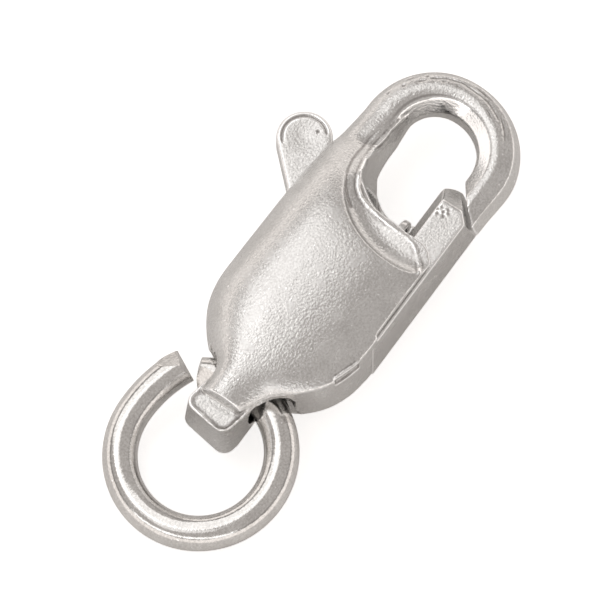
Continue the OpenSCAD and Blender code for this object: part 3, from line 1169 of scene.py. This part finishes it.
@dataclass
class GateLever:
    """The lever: the gate, its boss and link, and the arm with the thumb tab."""

    lever_h: float = 1.72
    gate_w: float = 1.15
    gate_front: float = 4.27
    gate_back: float = 0.8
    boss_r: float = 0.42
    boss_h: float = 1.0
    bore_r: float = 0.26
    tab_t: float = 0.7
    tab_head_r: float = 0.72
    tab_arm: float = 0.52
    tab_out: float = 0.43
    tab_front: float = 3.27
    swing: float = 14.0
    step_t: float = 0.15
    leaf_h: float = 0.8
    leaf_t: float = 0.18
    leaf_from: float = 0.7
    leaf_tip: float = 2.9
    leaf_gap: float = 0.02
    pivot: Vector = Vector((-1.9, -1.55))

    @property
    def low(self) -> float:
        """Height of the gate's underside."""
        return ClawBody.floor_t + ClawBody.slot_gap

    @property
    def high(self) -> float:
        """Height of the gate's top."""
        return self.low + self.lever_h

    @property
    def gate_out(self) -> float:
        """The gate's outer side."""
        return -ClawBody.gate_side + ClawBody.slot_gap

    @property
    def gate_in(self) -> float:
        """The gate's inner side."""
        return self.gate_out + self.gate_w

    @property
    def link_out(self) -> float:
        """The link's outer side."""
        return -ClawBody.gate_side + ClawBody.side_wall + ClawBody.slot_gap

    @property
    def leaf_in(self) -> float:
        """The side of the spring leaf that bears on the step."""
        return self.gate_in + self.step_t + self.leaf_gap

    @property
    def tab_head(self) -> Vector:
        """The middle of the thumb tab's round head."""
        return Vector((self.tab_front, ClawBody.tab_side + self.tab_out))

    @property
    def arm(self) -> tuple[float, float]:
        """The arm's length and its direction in degrees."""
        reach = self.tab_head - self.pivot
        return reach.length, heading(reach)

    def swung(self, spot: Vector) -> Vector:
        """Return a plan point of the lever, swung in a little past the limit."""
        reach = spot - self.pivot
        return polar(self.pivot, reach.length, heading(reach) + self.swing)

    def slant(self, gap: float) -> tuple[Vector, Vector]:
        """Return a point and the forward normal of the plane between the gate and the hook.

        Args:
            gap: How far the plane lies before the gate's tip.

        Returns:
            The point and the normal.
        """
        yaw, lean = math.radians(43.0), math.radians(-13.0)
        turn = Matrix.Rotation(yaw, 3, "Z") @ Matrix.Rotation(lean, 3, "X")
        normal = turn @ Vector((0.0, -1.0, 0.0))
        corner = Vector((self.gate_front - 0.97, self.gate_out, self.high))
        return corner + normal * gap, normal

    def slots(self, claw: ClawBody) -> list[BMesh]:
        """Return the tools of the slots that the lever swings in.

        Args:
            claw: The casting that they cut.

        Returns:
            The tools for the gate, the link, the arm and the tab's head.
        """
        gap = claw.slot_gap
        back = -self.gate_back - gap
        leaf_out = self.leaf_in + self.leaf_t + gap
        inside = plan((self.leaf_tip + gap, leaf_out), (self.leaf_from - gap, leaf_out),
                      (back - gap, self.gate_in + gap))
        gate = [*plan((back, -FAR), (FAR, -FAR), (FAR, claw.mouth.y)), claw.mouth,
                *(self.swung(spot) for spot in inside), *plan((back, self.gate_in))]
        radius = self.boss_r + gap
        turn = math.radians(self.swing)
        link = [
            *(polar(self.pivot, radius, d) for d in range(int(90 + self.swing), 271, 8)),
            *plan((self.pivot.x, self.pivot.y - radius),
                  (-self.gate_back, self.link_out - gap), (-self.gate_back, self.gate_in)),
            self.swung(Vector((-self.gate_back, self.gate_in + gap))),
            *plan((self.pivot.x - radius * math.sin(turn),
                   self.pivot.y + radius * math.cos(turn)))]
        arm_len, arm_turn = self.arm
        half = self.tab_arm + 2 * gap
        reach = arm_len + 2 * self.tab_head_r
        cos, sin = math.cos(turn), math.sin(turn)
        fan = plan((0.0, -half), (reach, -half), (reach * cos, reach * sin),
                   (reach * cos - half * sin, reach * sin + half * cos),
                   (-half * sin, half * cos), (-half, 0.0))
        around = Matrix.Rotation(math.radians(arm_turn), 2)
        fan = [around @ p + self.pivot for p in fan]
        half_boss = self.boss_h / 2 + gap
        half_tab = self.tab_t / 2 + gap
        mid = claw.mid_z
        head = self.tab_head
        return [
            prism(gate, claw.floor_t, claw.slot_z1),
            prism(link, mid - half_boss, mid + half_boss),
            prism(fan, mid - half_tab, mid + half_tab),
            rod(self.tab_head_r + gap, 2 * half_tab, standing(head.x, head.y, mid - half_tab)),
        ]

    def gate(self) -> BMesh:
        """Make the gate's bar, cut at its tip and bevelled along its inner edges.

        Returns:
            The closed bar.
        """
        tip_r = 0.4
        chamfer, inner = 0.7, 0.3
        corner = Vector((self.gate_front - tip_r, self.gate_in - tip_r))
        bm = prism([*plan((-self.gate_back, self.gate_out), (self.gate_front, self.gate_out)),
                    *(polar(corner, tip_r, turn) for turn in range(0, 91, 9)),
                    *plan((-self.gate_back, self.gate_in))], self.low, self.high)
        at, normal = self.slant(0.0)
        cuts = [
            (at, normal),
            (Vector((self.gate_front - chamfer, 0.0, self.high)), Vector((1.0, 0.0, 1.0))),
            (Vector((0.0, self.gate_in - inner, self.high)), Vector((0.0, 0.8, 0.43))),
            (Vector((0.0, self.gate_in - inner, self.low)), Vector((0.0, 1.0, -1.0))),
        ]
        for spot, out in cuts:
            bmesh.ops.bisect_plane(bm, geom=[*bm.verts, *bm.edges, *bm.faces], plane_co=spot,
                                   plane_no=out, clear_outer=True)
            closed(bm)
        bevelled(bm, sharp_edges(bm, 0.3), 0.04, 3)
        return closed(bm)

    def arm_and_tab(self) -> BMesh:
        """Make the arm and the thumb tab, with a thin groove inside the head's raised rim.

        Returns:
            The closed shape, in its place.
        """
        arm_len, arm_turn = self.arm
        half = self.tab_arm
        taper_turn = 100.0
        root = math.degrees(math.asin(half / self.tab_head_r)) - 180.0
        steps = 48
        waist = arm_len - 1.35
        outline = plan((waist, half), (0.0, half), (0.0, -half))
        outline += [polar(Vector((arm_len, 0.0)), self.tab_head_r,
                          mix(root, taper_turn, i / steps)) for i in range(steps + 1)]
        bm = prism(outline, -self.tab_t / 2, self.tab_t / 2)
        bevelled(bm, sharp_edges(bm, 1.2), 0.1, 4)
        place = standing(self.pivot.x, self.pivot.y, ClawBody.back_h) @ turned(arm_turn, "Z")
        bmesh.ops.transform(bm, matrix=place, verts=bm.verts)
        return bm

    def mark_tab(self, bm: BMesh) -> None:
        """Press the thin groove inside the tab's rim, its dish and its pit into its faces.

        Args:
            bm: The dense skin.
        """
        rim = self.tab_head_r - 0.15
        groove_depth, dish_depth, pit_depth = 0.04, 0.03, 0.05
        line = 0.035
        pit = Vector((3.57, 2.2))
        for vert in bm.verts:
            over = vert.co.z - ClawBody.back_h
            reach = vert.co.xy - self.tab_head
            if abs(over) < self.tab_t / 2 - 0.04 or reach.length > self.tab_head_r + 1.0:
                continue
            beside = abs(math.remainder(heading(reach) - 45.0, 360.0))
            round_head = eased((105.0 - beside) / 30.0)
            groove = bell(reach.length - rim, line) * round_head
            dish = 1.0 - eased(reach.length / rim)
            hole = bell((vert.co.xy - pit).length, line)
            press = groove_depth * groove + dish_depth * dish + pit_depth * hole
            vert.co.z -= math.copysign(press, over)

    def link(self) -> BMesh:
        """Make the boss and its link to the gate.

        Returns:
            The closed shape.
        """
        lap = 0.3
        boss = [polar(self.pivot, self.boss_r, d) for d in range(90, 271, 6)]
        ends = (-self.gate_back, -self.gate_back + lap)
        inner = self.gate_in - 0.02
        outline = boss + plan((ends[0], self.link_out), (ends[1], self.link_out),
                              (ends[1], inner), (ends[0], inner))
        mid = ClawBody.back_h
        return prism(outline, mid - self.boss_h / 2, mid + self.boss_h / 2)

    def step(self) -> BMesh:
        """Make the step on the gate that the spring leaf bears on.

        Returns:
            The closed block.
        """
        mid = ClawBody.back_h
        bm = block(Vector((self.leaf_from, self.gate_in - self.step_t, mid - self.leaf_h / 2)),
                   Vector((self.leaf_tip - 0.05, self.gate_in + self.step_t,
                           mid + self.leaf_h / 4)))
        bevelled(bm, bm.edges[:], 0.09, 4)
        return bm

    def soften(self, bm: BMesh) -> None:
        """Smooth the steps that the voxels leave, mark the tab's faces and sink the pits.

        Args:
            bm: The dense skin.
        """
        pit_r, pit_depth = 0.04, 0.03
        smoothed(bm, bm.verts, 2)
        self.mark_tab(bm)
        for vert in bm.verts:
            if vert.co.z > self.high - 0.05 and vert.co.x > 2.9:
                for pit in plan(*GATE_PITS):
                    away = (vert.co.xy - pit).length
                    if away < 3.0 * pit_r:
                        vert.co.z -= pit_depth * bell(away, pit_r)

    def build(self, fineness: Fineness) -> Object:
        """Build the lever as one casting, in metres.

        Args:
            fineness: How finely its skin is meshed.

        Returns:
            The piece.
        """
        lever = in_world("lever_casting", self.gate())
        added(lever, [self.link(), self.arm_and_tab(), self.step()])
        finer = Fineness(fineness.voxel * 0.75, fineness.triangles)
        fused(lever, finer, self.soften)
        worked(lever, Join.CUT, rod(self.bore_r, FAR, standing(*self.pivot, 0.0)))
        edges_marked(lever)
        return in_metres(lever)


@dataclass
class SpringLeaf:
    """The leaf whose rounded tip shows at the mouth beside the gate."""

    def build(self) -> Object:
        """Build the leaf, with rounded edges, in metres.

        Returns:
            The piece.
        """
        lever = GateLever()
        half = lever.leaf_h / 2
        straight = lever.leaf_tip - half
        bm = block(Vector((lever.leaf_from, lever.leaf_in, ClawBody.back_h - half)),
                   Vector((lever.leaf_tip, lever.leaf_in + lever.leaf_t,
                           ClawBody.back_h + half)))
        tip = [e for e in bm.edges if all(v.co.x > straight for v in e.verts)
               and abs(e.verts[0].co.z - e.verts[1].co.z) < 1e-4]
        bevelled(bm, tip, half * 0.98, 10)
        bevelled(bm, sharp_edges(bm, 1.0), 0.04, 2)
        return in_metres(in_world("spring_leaf", closed(bm)))


@dataclass(frozen=True)
class Facet:
    """A facet on a wire's end: how far ahead it lies, and how it falls off."""

    ahead: float
    per_side: float
    per_rise: float

    def limit(self, side: float, rise: float) -> float:
        """Return how far ahead the wire reaches at a point of its section."""
        return self.ahead - self.per_side * side - self.per_rise * rise


# The facets of the pulled end, then of the other end
END_FACETS = (
    (Facet(0.95, 2.23, 2.71), Facet(0.02, 0.05, 0.35)),
    (Facet(0.6, -1.6, 2.2), Facet(0.0, 0.3, 0.25)),
)


@dataclass
class JumpRing:
    """The round wire ring, pinch-cut at its ends and pulled a little open."""

    outer_d: float = 5.0
    wire: float = 0.9
    gap_turn: float = 40.0
    gap_w: float = 0.24
    pulled_r: float = 3.6
    lean: float = 11.82
    middle: Vector = Vector((-5.087, -0.15, 0.87))
    hinge: Vector = Vector((-3.18, 0.0, 1.48))
    # The room beside it at rest, and the least gap to the skin as it swings
    room_gap: float = 0.07
    swing_gap: float = 0.02
    # Turns in degrees, from the lower limit to the upper one
    swing_turns: range = range(-45, 96, 4)

    @property
    def lying(self) -> Matrix:
        """Place of the ring at rest, from its own flat plan."""
        return Matrix.Translation(self.middle) @ turned(-self.lean, "Y")

    @property
    def radius(self) -> float:
        """Radius to the middle of the wire."""
        return (self.outer_d - self.wire) / 2

    def spine(self, share: float) -> tuple[Vector, Vector]:
        """Return the wire's middle and its outward side, from the pulled end round.

        Args:
            share: The share of the wire's length.

        Returns:
            The point and the direction, in the ring's own plan.
        """
        gap_half = math.degrees(self.gap_w / 2 / self.radius)
        offset = self.pulled_r - self.radius
        to = math.radians(self.gap_turn + gap_half)
        reach = math.sqrt(self.pulled_r**2 - (offset * math.cos(to)) ** 2) \
            - offset * math.sin(to)
        pulled = math.degrees(math.asin(reach * math.cos(to) / self.pulled_r))
        full = 270.0 + self.gap_turn - gap_half
        lengths = (math.radians(pulled) * self.pulled_r, math.radians(full) * self.radius)
        run = share * sum(lengths)
        if run < lengths[0]:
            out = outward(90.0 - pulled * (1.0 - run / lengths[0]))
            return Vector((0.0, -offset)) + out * self.pulled_r, out
        out = outward(90.0 + full * (run - lengths[0]) / lengths[1])
        return out * self.radius, out

    def course(self, turn: float) -> list[Vector]:
        """Return the line of the wire's middle with the ring swung by a turn in degrees.

        Args:
            turn: The turn from rest, in degrees.

        Returns:
            The line's points.
        """
        place = Matrix.Translation(self.hinge) @ turned(turn, "Y") \
            @ Matrix.Translation(-self.hinge)
        spots = (self.spine(i / 320)[0] for i in range(321))
        return [place @ self.lying @ spot.to_3d() for spot in spots]

    def end_cut(self, spot: Vector, rise: float, end: float) -> Vector:
        """Press a point near an end of the wire back onto the facets that the cutters left.

        Args:
            spot: The point in plan.
            rise: Its height over the wire's middle.
            end: Which end, as a share of the wire's length.

        Returns:
            The point in plan, on or behind the facets.
        """
        tip, out = self.spine(end)
        inner = self.spine(abs(end - 0.01))[0]
        ahead = (tip - inner).normalized()
        reach = spot - tip
        side = reach.dot(out)
        limit = min(f.limit(side, rise) for f in END_FACETS[end > 0.5])
        over = reach.dot(ahead) - limit
        return spot - ahead * over if over > 0.0 else spot

    def build(self) -> Object:
        """Build the ring, with the facets that the cutters left on its ends, in metres.

        Returns:
            The piece.
        """
        cap = 0.05

        def place(share: float, around: float) -> Vector:
            """Return a point of the wire's skin.

            Args:
                share: The share of the wire's length.
                around: The share of a turn round the wire.

            Returns:
                The point.
            """
            run = share * (1.0 + 2.0 * cap) - cap
            full = 1.0 + min(run, 1.0 - run, 0.0) / cap
            run = min(max(run, 0.0), 1.0)
            spot, out = self.spine(run)
            turn = math.tau * around
            radius = self.wire / 2 * max(full, 0.01)
            rise = radius * math.sin(turn)
            spot = spot + out * (radius * math.cos(turn))
            if min(run, 1.0 - run) < 0.08:
                spot = self.end_cut(spot, rise, float(run > 0.5))
            return Vector((spot.x, spot.y, rise))

        bm = wrapped(400, 64, place)
        bmesh.ops.transform(bm, matrix=self.lying, verts=bm.verts)
        ring = in_metres(in_world("open_ring", bm))
        ring.data.set_sharp_from_angle(angle=math.radians(35.0))
        return ring


class Sockets:
    """Shorthand for building a node tree: new nodes, their values and their links."""

    def __init__(self, tree: NodeTree) -> None:
        """Keep the tree that the nodes go into."""
        self.nodes = tree.nodes
        self.links = tree.links

    def feed(self, socket: NodeSocket, value: "NodeSocket | float | Sequence[float]") -> None:
        """Link a value to a socket, or set it there, a colour with its alpha at 1.

        Args:
            socket: The input.
            value: What it gets.
        """
        if isinstance(value, NodeSocket):
            self.links.new(value, socket)
        elif socket.type == "RGBA":
            socket.default_value = (*value, 1.0)
        else:
            socket.default_value = value

    def put(self, node: Node, **values: "NodeSocket | float | Sequence[float]") -> Node:
        """Feed a node's inputs, with a low line for a space, and return the node.

        Args:
            node: The node.
            values: What each input gets.

        Returns:
            The same node.
        """
        for name, value in values.items():
            self.feed(node.inputs[name.replace("_", " ")], value)
        return node

    def new(self, kind: str, **values: "NodeSocket | float | Sequence[float]") -> Node:
        """Add a node of a kind, with its values."""
        return self.put(self.nodes.new(kind), **values)

    def group(self, tree: NodeTree, **values: float) -> Node:
        """Add a node of a node group, with its values.

        Args:
            tree: The node group.
            values: What each input gets.

        Returns:
            The node.
        """
        node = self.new("ShaderNodeGroup")
        node.node_tree = tree
        return self.put(node, **values)

    def noise(self, vector: NodeSocket, scale: NodeSocket, detail: float) -> NodeSocket:
        """Add a noise at a scale and return its value."""
        return self.new("ShaderNodeTexNoise", Vector=vector, Scale=scale, Detail=detail,
                        Roughness=0.55).outputs["Fac"]

    def math(self, kind: str, *values: "NodeSocket | float") -> NodeSocket:
        """Add a math node of a kind and return its value.

        Args:
            kind: The operation.
            values: What the inputs get, in order.

        Returns:
            The node's output.
        """
        node = self.new("ShaderNodeMath")
        node.operation = kind
        for socket, value in zip(node.inputs, values):
            self.feed(socket, value)
        return node.outputs[0]

    def blend(self, share: NodeSocket, *colours: "NodeSocket | Sequence[float]") -> NodeSocket:
        """Mix two colours by a share and return the result.

        Args:
            share: How much there is of the second colour.
            colours: The two colours.

        Returns:
            The node's output.
        """
        node = self.new("ShaderNodeMix")
        node.data_type = "RGBA"
        self.put(node, Factor=share)
        for socket, colour in zip((i for i in node.inputs if i.type == "RGBA"), colours):
            self.feed(socket, colour)
        return next(o for o in node.outputs if o.type == "RGBA")


def new_group(name: str, inputs: Sequence[str], outputs: Sequence[str]) -> NodeTree:
    """Make a shader node group with named value sockets.

    Args:
        name: The group's name.
        inputs: The names of its inputs.
        outputs: The names of its outputs.

    Returns:
        The group, without nodes.
    """
    group = bpy.data.node_groups.new(name, "ShaderNodeTree")
    for label in inputs:
        group.interface.new_socket(name=label, in_out="INPUT", socket_type="NodeSocketFloat")
    for label in outputs:
        group.interface.new_socket(name=label, in_out="OUTPUT", socket_type="NodeSocketFloat")
    return group


def grain_group() -> NodeTree:
    """Build the node group of the cast skin: an orange peel, broad dents and fine grains.

    Returns:
        The group. Its input is the grains to the metre. Its outputs are a height for the
        bump, a broad mottle, a fine speckle and sparse bright specks.
    """
    group = new_group("cast_grain", ["Grains"], ["Height", "Mottle", "Speckle", "Specks"])
    make = Sockets(group)
    come = make.new("NodeGroupInput").outputs["Grains"]
    where = make.new("ShaderNodeTexCoord").outputs["Object"]
    peel = make.noise(where, come, 2.0)
    broad = make.noise(where, make.math("MULTIPLY", come, 0.1), 1.0)
    speckle = make.noise(where, make.math("MULTIPLY", come, 1.15), 1.0)
    sparse = make.noise(where, make.math("MULTIPLY", come, 0.8), 0.0)
    height = make.math("MULTIPLY_ADD", broad, 0.5, peel)
    # Only the noise's rare peaks make specks
    speck_from, speck_gain = 0.79, 25.0
    spot = make.math("MULTIPLY", make.math("SUBTRACT", sparse, speck_from), speck_gain)
    specks = make.math("MINIMUM", make.math("MAXIMUM", spot, 0.0), 1.0)
    make.new("NodeGroupOutput", Height=height, Mottle=broad, Speckle=speckle, Specks=specks)
    return group


def wear_and_light_group() -> NodeTree:
    """Build the node group of edge wear and painted light, from the meshes' edge and crevice
    attributes.

    Returns:
        The group. Its inputs set the painted edge highlight and crevice shade; its outputs are
        the two masks.
    """
    group = new_group("edge_wear_and_painted_light", ["Shine", "Dirt"], ["Bright", "Dark"])
    make = Sockets(group)
    come = make.new("NodeGroupInput").outputs
    masks = {}
    for name, amount, output in (("edge", "Shine", "Bright"), ("crevice", "Dirt", "Dark")):
        read = make.new("ShaderNodeAttribute")
        read.attribute_name = name
        masks[output] = make.math("MULTIPLY", read.outputs["Fac"], come[amount])
    make.new("NodeGroupOutput", **masks)
    return group


WHITE = (1.0, 1.0, 1.0)
# The grey of the painted shade in crevices
PAINTED_SHADE_GREY = (0.30, 0.285, 0.275)


@dataclass(frozen=True)
class SilverFinish:
    """A finish of the silver: its colour, gloss and the grain of its skin."""

    name: str
    colour: tuple[float, float, float]
    dull: tuple[float, float, float]
    roughness: tuple[float, float]
    grain_mm: float
    grain_depth_mm: float
    speckle: float
    # How strong the painted highlight on the edges is, and the painted shade in the crevices
    shine: float
    painted_shade: float

    def material(self, grain: NodeTree, wear: NodeTree) -> Material:
        """Make the material.

        Args:
            grain: The cast grain's node group.
            wear: The node group of edge wear and painted light.

        Returns:
            The material, with its colour, roughness and normal from the two groups.
        """
        made = bpy.data.materials.new(self.name)
        made.use_nodes = True
        make = Sockets(made.node_tree)
        skin = make.group(grain, Grains=1.0 / (self.grain_mm * MM)).outputs
        painted_light_and_wear = make.group(wear, Shine=self.shine, Dirt=self.painted_shade).outputs
        bright = painted_light_and_wear["Bright"]
        fine = make.math("MULTIPLY", make.math("SUBTRACT", skin["Speckle"], 0.5), self.speckle)
        tint = make.blend(make.math("ADD", skin["Mottle"], fine), self.dull, self.colour)
        # The edge mark paints a white highlight into the colour, and the sparse specks white
        # grains
        tint = make.blend(make.math("MAXIMUM", bright, skin["Specks"]), tint, WHITE)
        # The crevice mark paints shade into the colour
        tint = make.blend(painted_light_and_wear["Dark"], tint, PAINTED_SHADE_GREY)
        gloss = make.new("ShaderNodeMapRange", From_Min=0.3, From_Max=0.7, Value=skin["Mottle"],
                         To_Min=self.roughness[0], To_Max=self.roughness[1])
        # Places under the edge mark are worn glossier besides their painted highlight, and keep
        # less of the grain, whose mean height is 0.75
        polish = make.math("SUBTRACT", 1.0, make.math("MULTIPLY", bright, 0.6))
        kept = make.math("SUBTRACT", 1.0, make.math("MULTIPLY", bright, 0.8))
        level = make.math("SUBTRACT", skin["Height"], 0.75)
        bump = make.new("ShaderNodeBump", Strength=1.0, Distance=self.grain_depth_mm * MM,
                        Height=make.math("MULTIPLY", level, kept))
        make.put(make.nodes["Principled BSDF"], Metallic=1.0, Base_Color=tint,
                 Roughness=make.math("MULTIPLY", gloss.outputs["Result"], polish),
                 Normal=bump.outputs["Normal"])
        return made


CAST = SilverFinish("cast_silver", (0.80, 0.795, 0.785), (0.64, 0.63, 0.62), (0.19, 0.29),
                    grain_mm=0.062, grain_depth_mm=0.013, speckle=2.2, shine=1.0, painted_shade=0.8)
LEVER = SilverFinish("lever_silver", (0.80, 0.795, 0.785), (0.62, 0.61, 0.60), (0.19, 0.29),
                     grain_mm=0.062, grain_depth_mm=0.013, speckle=2.2, shine=1.0, painted_shade=0.8)
DRAWN = SilverFinish("drawn_silver", (0.84, 0.83, 0.815), (0.62, 0.605, 0.59), (0.08, 0.15),
                     grain_mm=0.07, grain_depth_mm=0.0025, speckle=1.6, shine=0.0, painted_shade=0.0)
STEEL = SilverFinish("spring_steel", (0.84, 0.83, 0.82), (0.72, 0.715, 0.71), (0.15, 0.25),
                     grain_mm=0.15, grain_depth_mm=0.006, speckle=1.0, shine=0.0, painted_shade=0.0)


# The room's grey by the height of the direction, from the horizon at 0 to overhead at 1
ROOM = ((0.0, 0.53), (0.03, 1.15), (0.36, 1.15), (0.41, 0.33), (0.49, 0.33), (0.57, 0.53))
ROOM_TINT = (1.0, 0.945, 0.905)


@dataclass(frozen=True)
class Lamp:
    """A soft lamp: its direction, distance and size, and its brightness, 1 for a white sheet."""

    name: str
    toward: tuple[float, float, float]
    distance: float
    size: tuple[float, float]
    radiance: float

    def hang(self) -> None:
        """Hang the lamp, facing the middle of the clasp."""
        middle = Vector((0.0, 0.0, 1.5))
        light = bpy.data.lights.new(self.name, "AREA")
        light.shape = "RECTANGLE"
        light.size, light.size_y = self.size[0] * MM, self.size[1] * MM
        light.energy = self.radiance * math.pi * light.size * light.size_y
        toward = Vector(self.toward).normalized()
        turn = toward.to_track_quat("Z", "Y").to_matrix().to_4x4()
        spot = (middle + toward * self.distance) * MM
        placed(self.name, light, Matrix.Translation(spot) @ turn)


LAMPS = (
    Lamp("key", (0.10, 0.50, 0.86), 80.0, (80.0, 71.0), 0.76),
    Lamp("left", (-0.36, 0.27, 0.89), 80.0, (50.0, 30.0), 0.52),
    Lamp("card", (-0.80, -0.15, 0.47), 85.0, (110.0, 15.0), 1.2),
)


@dataclass
class Studio:
    """The camera at the photograph's angle, the pale floor and the soft lights."""

    pixels_to_mm: float = 39.6
    image: float = 600.0
    right: Vector = Vector((0.565, -0.825, 0.0))
    up: Vector = Vector((0.754, 0.516, 0.407))
    back: Vector = Vector((-0.336, -0.230, 0.914))
    # Where the frame's origin stands in the image, from its middle, in pixels right and up
    origin_px: tuple[float, float] = (10.0, -13.0)
    distance: float = 500.0
    # How much brighter the paper is to the camera than its own light makes it
    paper_lift: float = 0.62

    @property
    def target(self) -> Vector:
        """The point in the middle of the image, in millimetres."""
        right_px, up_px = self.origin_px
        return (self.right * -right_px + self.up * -up_px) / self.pixels_to_mm

    def camera(self) -> None:
        """Set the scene's camera: a long lens that looks down at the clasp."""
        lens = bpy.data.cameras.new("camera")
        lens.sensor_width = 36.0
        lens.lens = lens.sensor_width * self.distance * self.pixels_to_mm / self.image
        lens.clip_start, lens.clip_end = 0.01, 10.0
        turn = Matrix((self.right, self.up, self.back)).transposed().to_4x4()
        spot = (self.target + self.back * self.distance) * MM
        place = Matrix.Translation(spot) @ turn
        bpy.context.scene.camera = placed("camera", lens, place)

    def floor(self) -> None:
        """Lay the pale floor that the clasp rests on."""
        bm = bmesh.new()
        bmesh.ops.create_grid(bm, x_segments=1, y_segments=1, size=1.0)
        floor = in_world("floor", bm)
        paper = bpy.data.materials.new("pale_paper")
        paper.use_nodes = True
        make = Sockets(paper.node_tree)
        seen = make.new("ShaderNodeLightPath").outputs["Is Camera Ray"]
        make.put(make.nodes["Principled BSDF"], Base_Color=(0.88, 0.87, 0.86), Roughness=0.9,
                 Emission_Color=WHITE,
                 Emission_Strength=make.math("MULTIPLY", seen, self.paper_lift))
        floor.data.materials.append(paper)

    def air(self) -> None:
        """Fill the room with grey, and a white and a dark band low down round it."""
        world = bpy.data.worlds.new("room")
        world.use_nodes = True
        make = Sockets(world.node_tree)
        toward = make.new("ShaderNodeTexCoord").outputs["Generated"]
        height = make.new("ShaderNodeSeparateXYZ", Vector=toward).outputs["Z"]
        ramp = make.new("ShaderNodeValToRGB", Fac=height)
        stops = ramp.color_ramp.elements
        for stop, (at, grey) in zip([*stops, *(stops.new(1.0) for _ in ROOM[2:])], ROOM):
            stop.position = at
            stop.color = (*(grey * share for share in ROOM_TINT), 1.0)
        make.put(make.nodes["Background"], Color=ramp.outputs["Color"])
        bpy.context.scene.world = world

    def build(self) -> None:
        """Set up the camera, the floor and the lights."""
        bpy.context.scene.view_settings.view_transform = "Standard"
        self.camera()
        self.floor()
        self.air()
        for lamp in LAMPS:
            lamp.hang()


def dressed(piece: Object, finish: Material, body: str, node: str) -> None:
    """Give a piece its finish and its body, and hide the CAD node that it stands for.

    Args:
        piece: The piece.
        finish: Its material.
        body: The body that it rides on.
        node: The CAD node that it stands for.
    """
    piece.data.materials.clear()
    piece.data.materials.append(finish)
    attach(piece, body)
    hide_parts(node)
    LOG.info("%s: %d faces, rides on %s", piece.name, len(piece.data.polygons), body)


def main() -> None:
    """Build the studio and the pieces in order."""
    logging.basicConfig(level=logging.INFO, format="%(message)s")
    Studio().build()
    fineness = FINE
    grain, wear = grain_group(), wear_and_light_group()
    cast, lever, drawn, steel = (f.material(grain, wear)
                                 for f in (CAST, LEVER, DRAWN, STEEL))
    dressed(ClawBody().build(fineness), cast, "claw", "claw_body")
    dressed(GateLever().build(fineness), lever, "lever", "gate_lever")
    dressed(SpringLeaf().build(), steel, "lever", "return_spring")
    dressed(JumpRing().build(), drawn, "ring", "jump_ring")
    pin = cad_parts["pivot_pin"]
    pin.data.materials.clear()
    pin.data.materials.append(steel)
    LOG.info("%s: keeps its CAD mesh", pin.name)


if __name__ == "__main__":
    main()
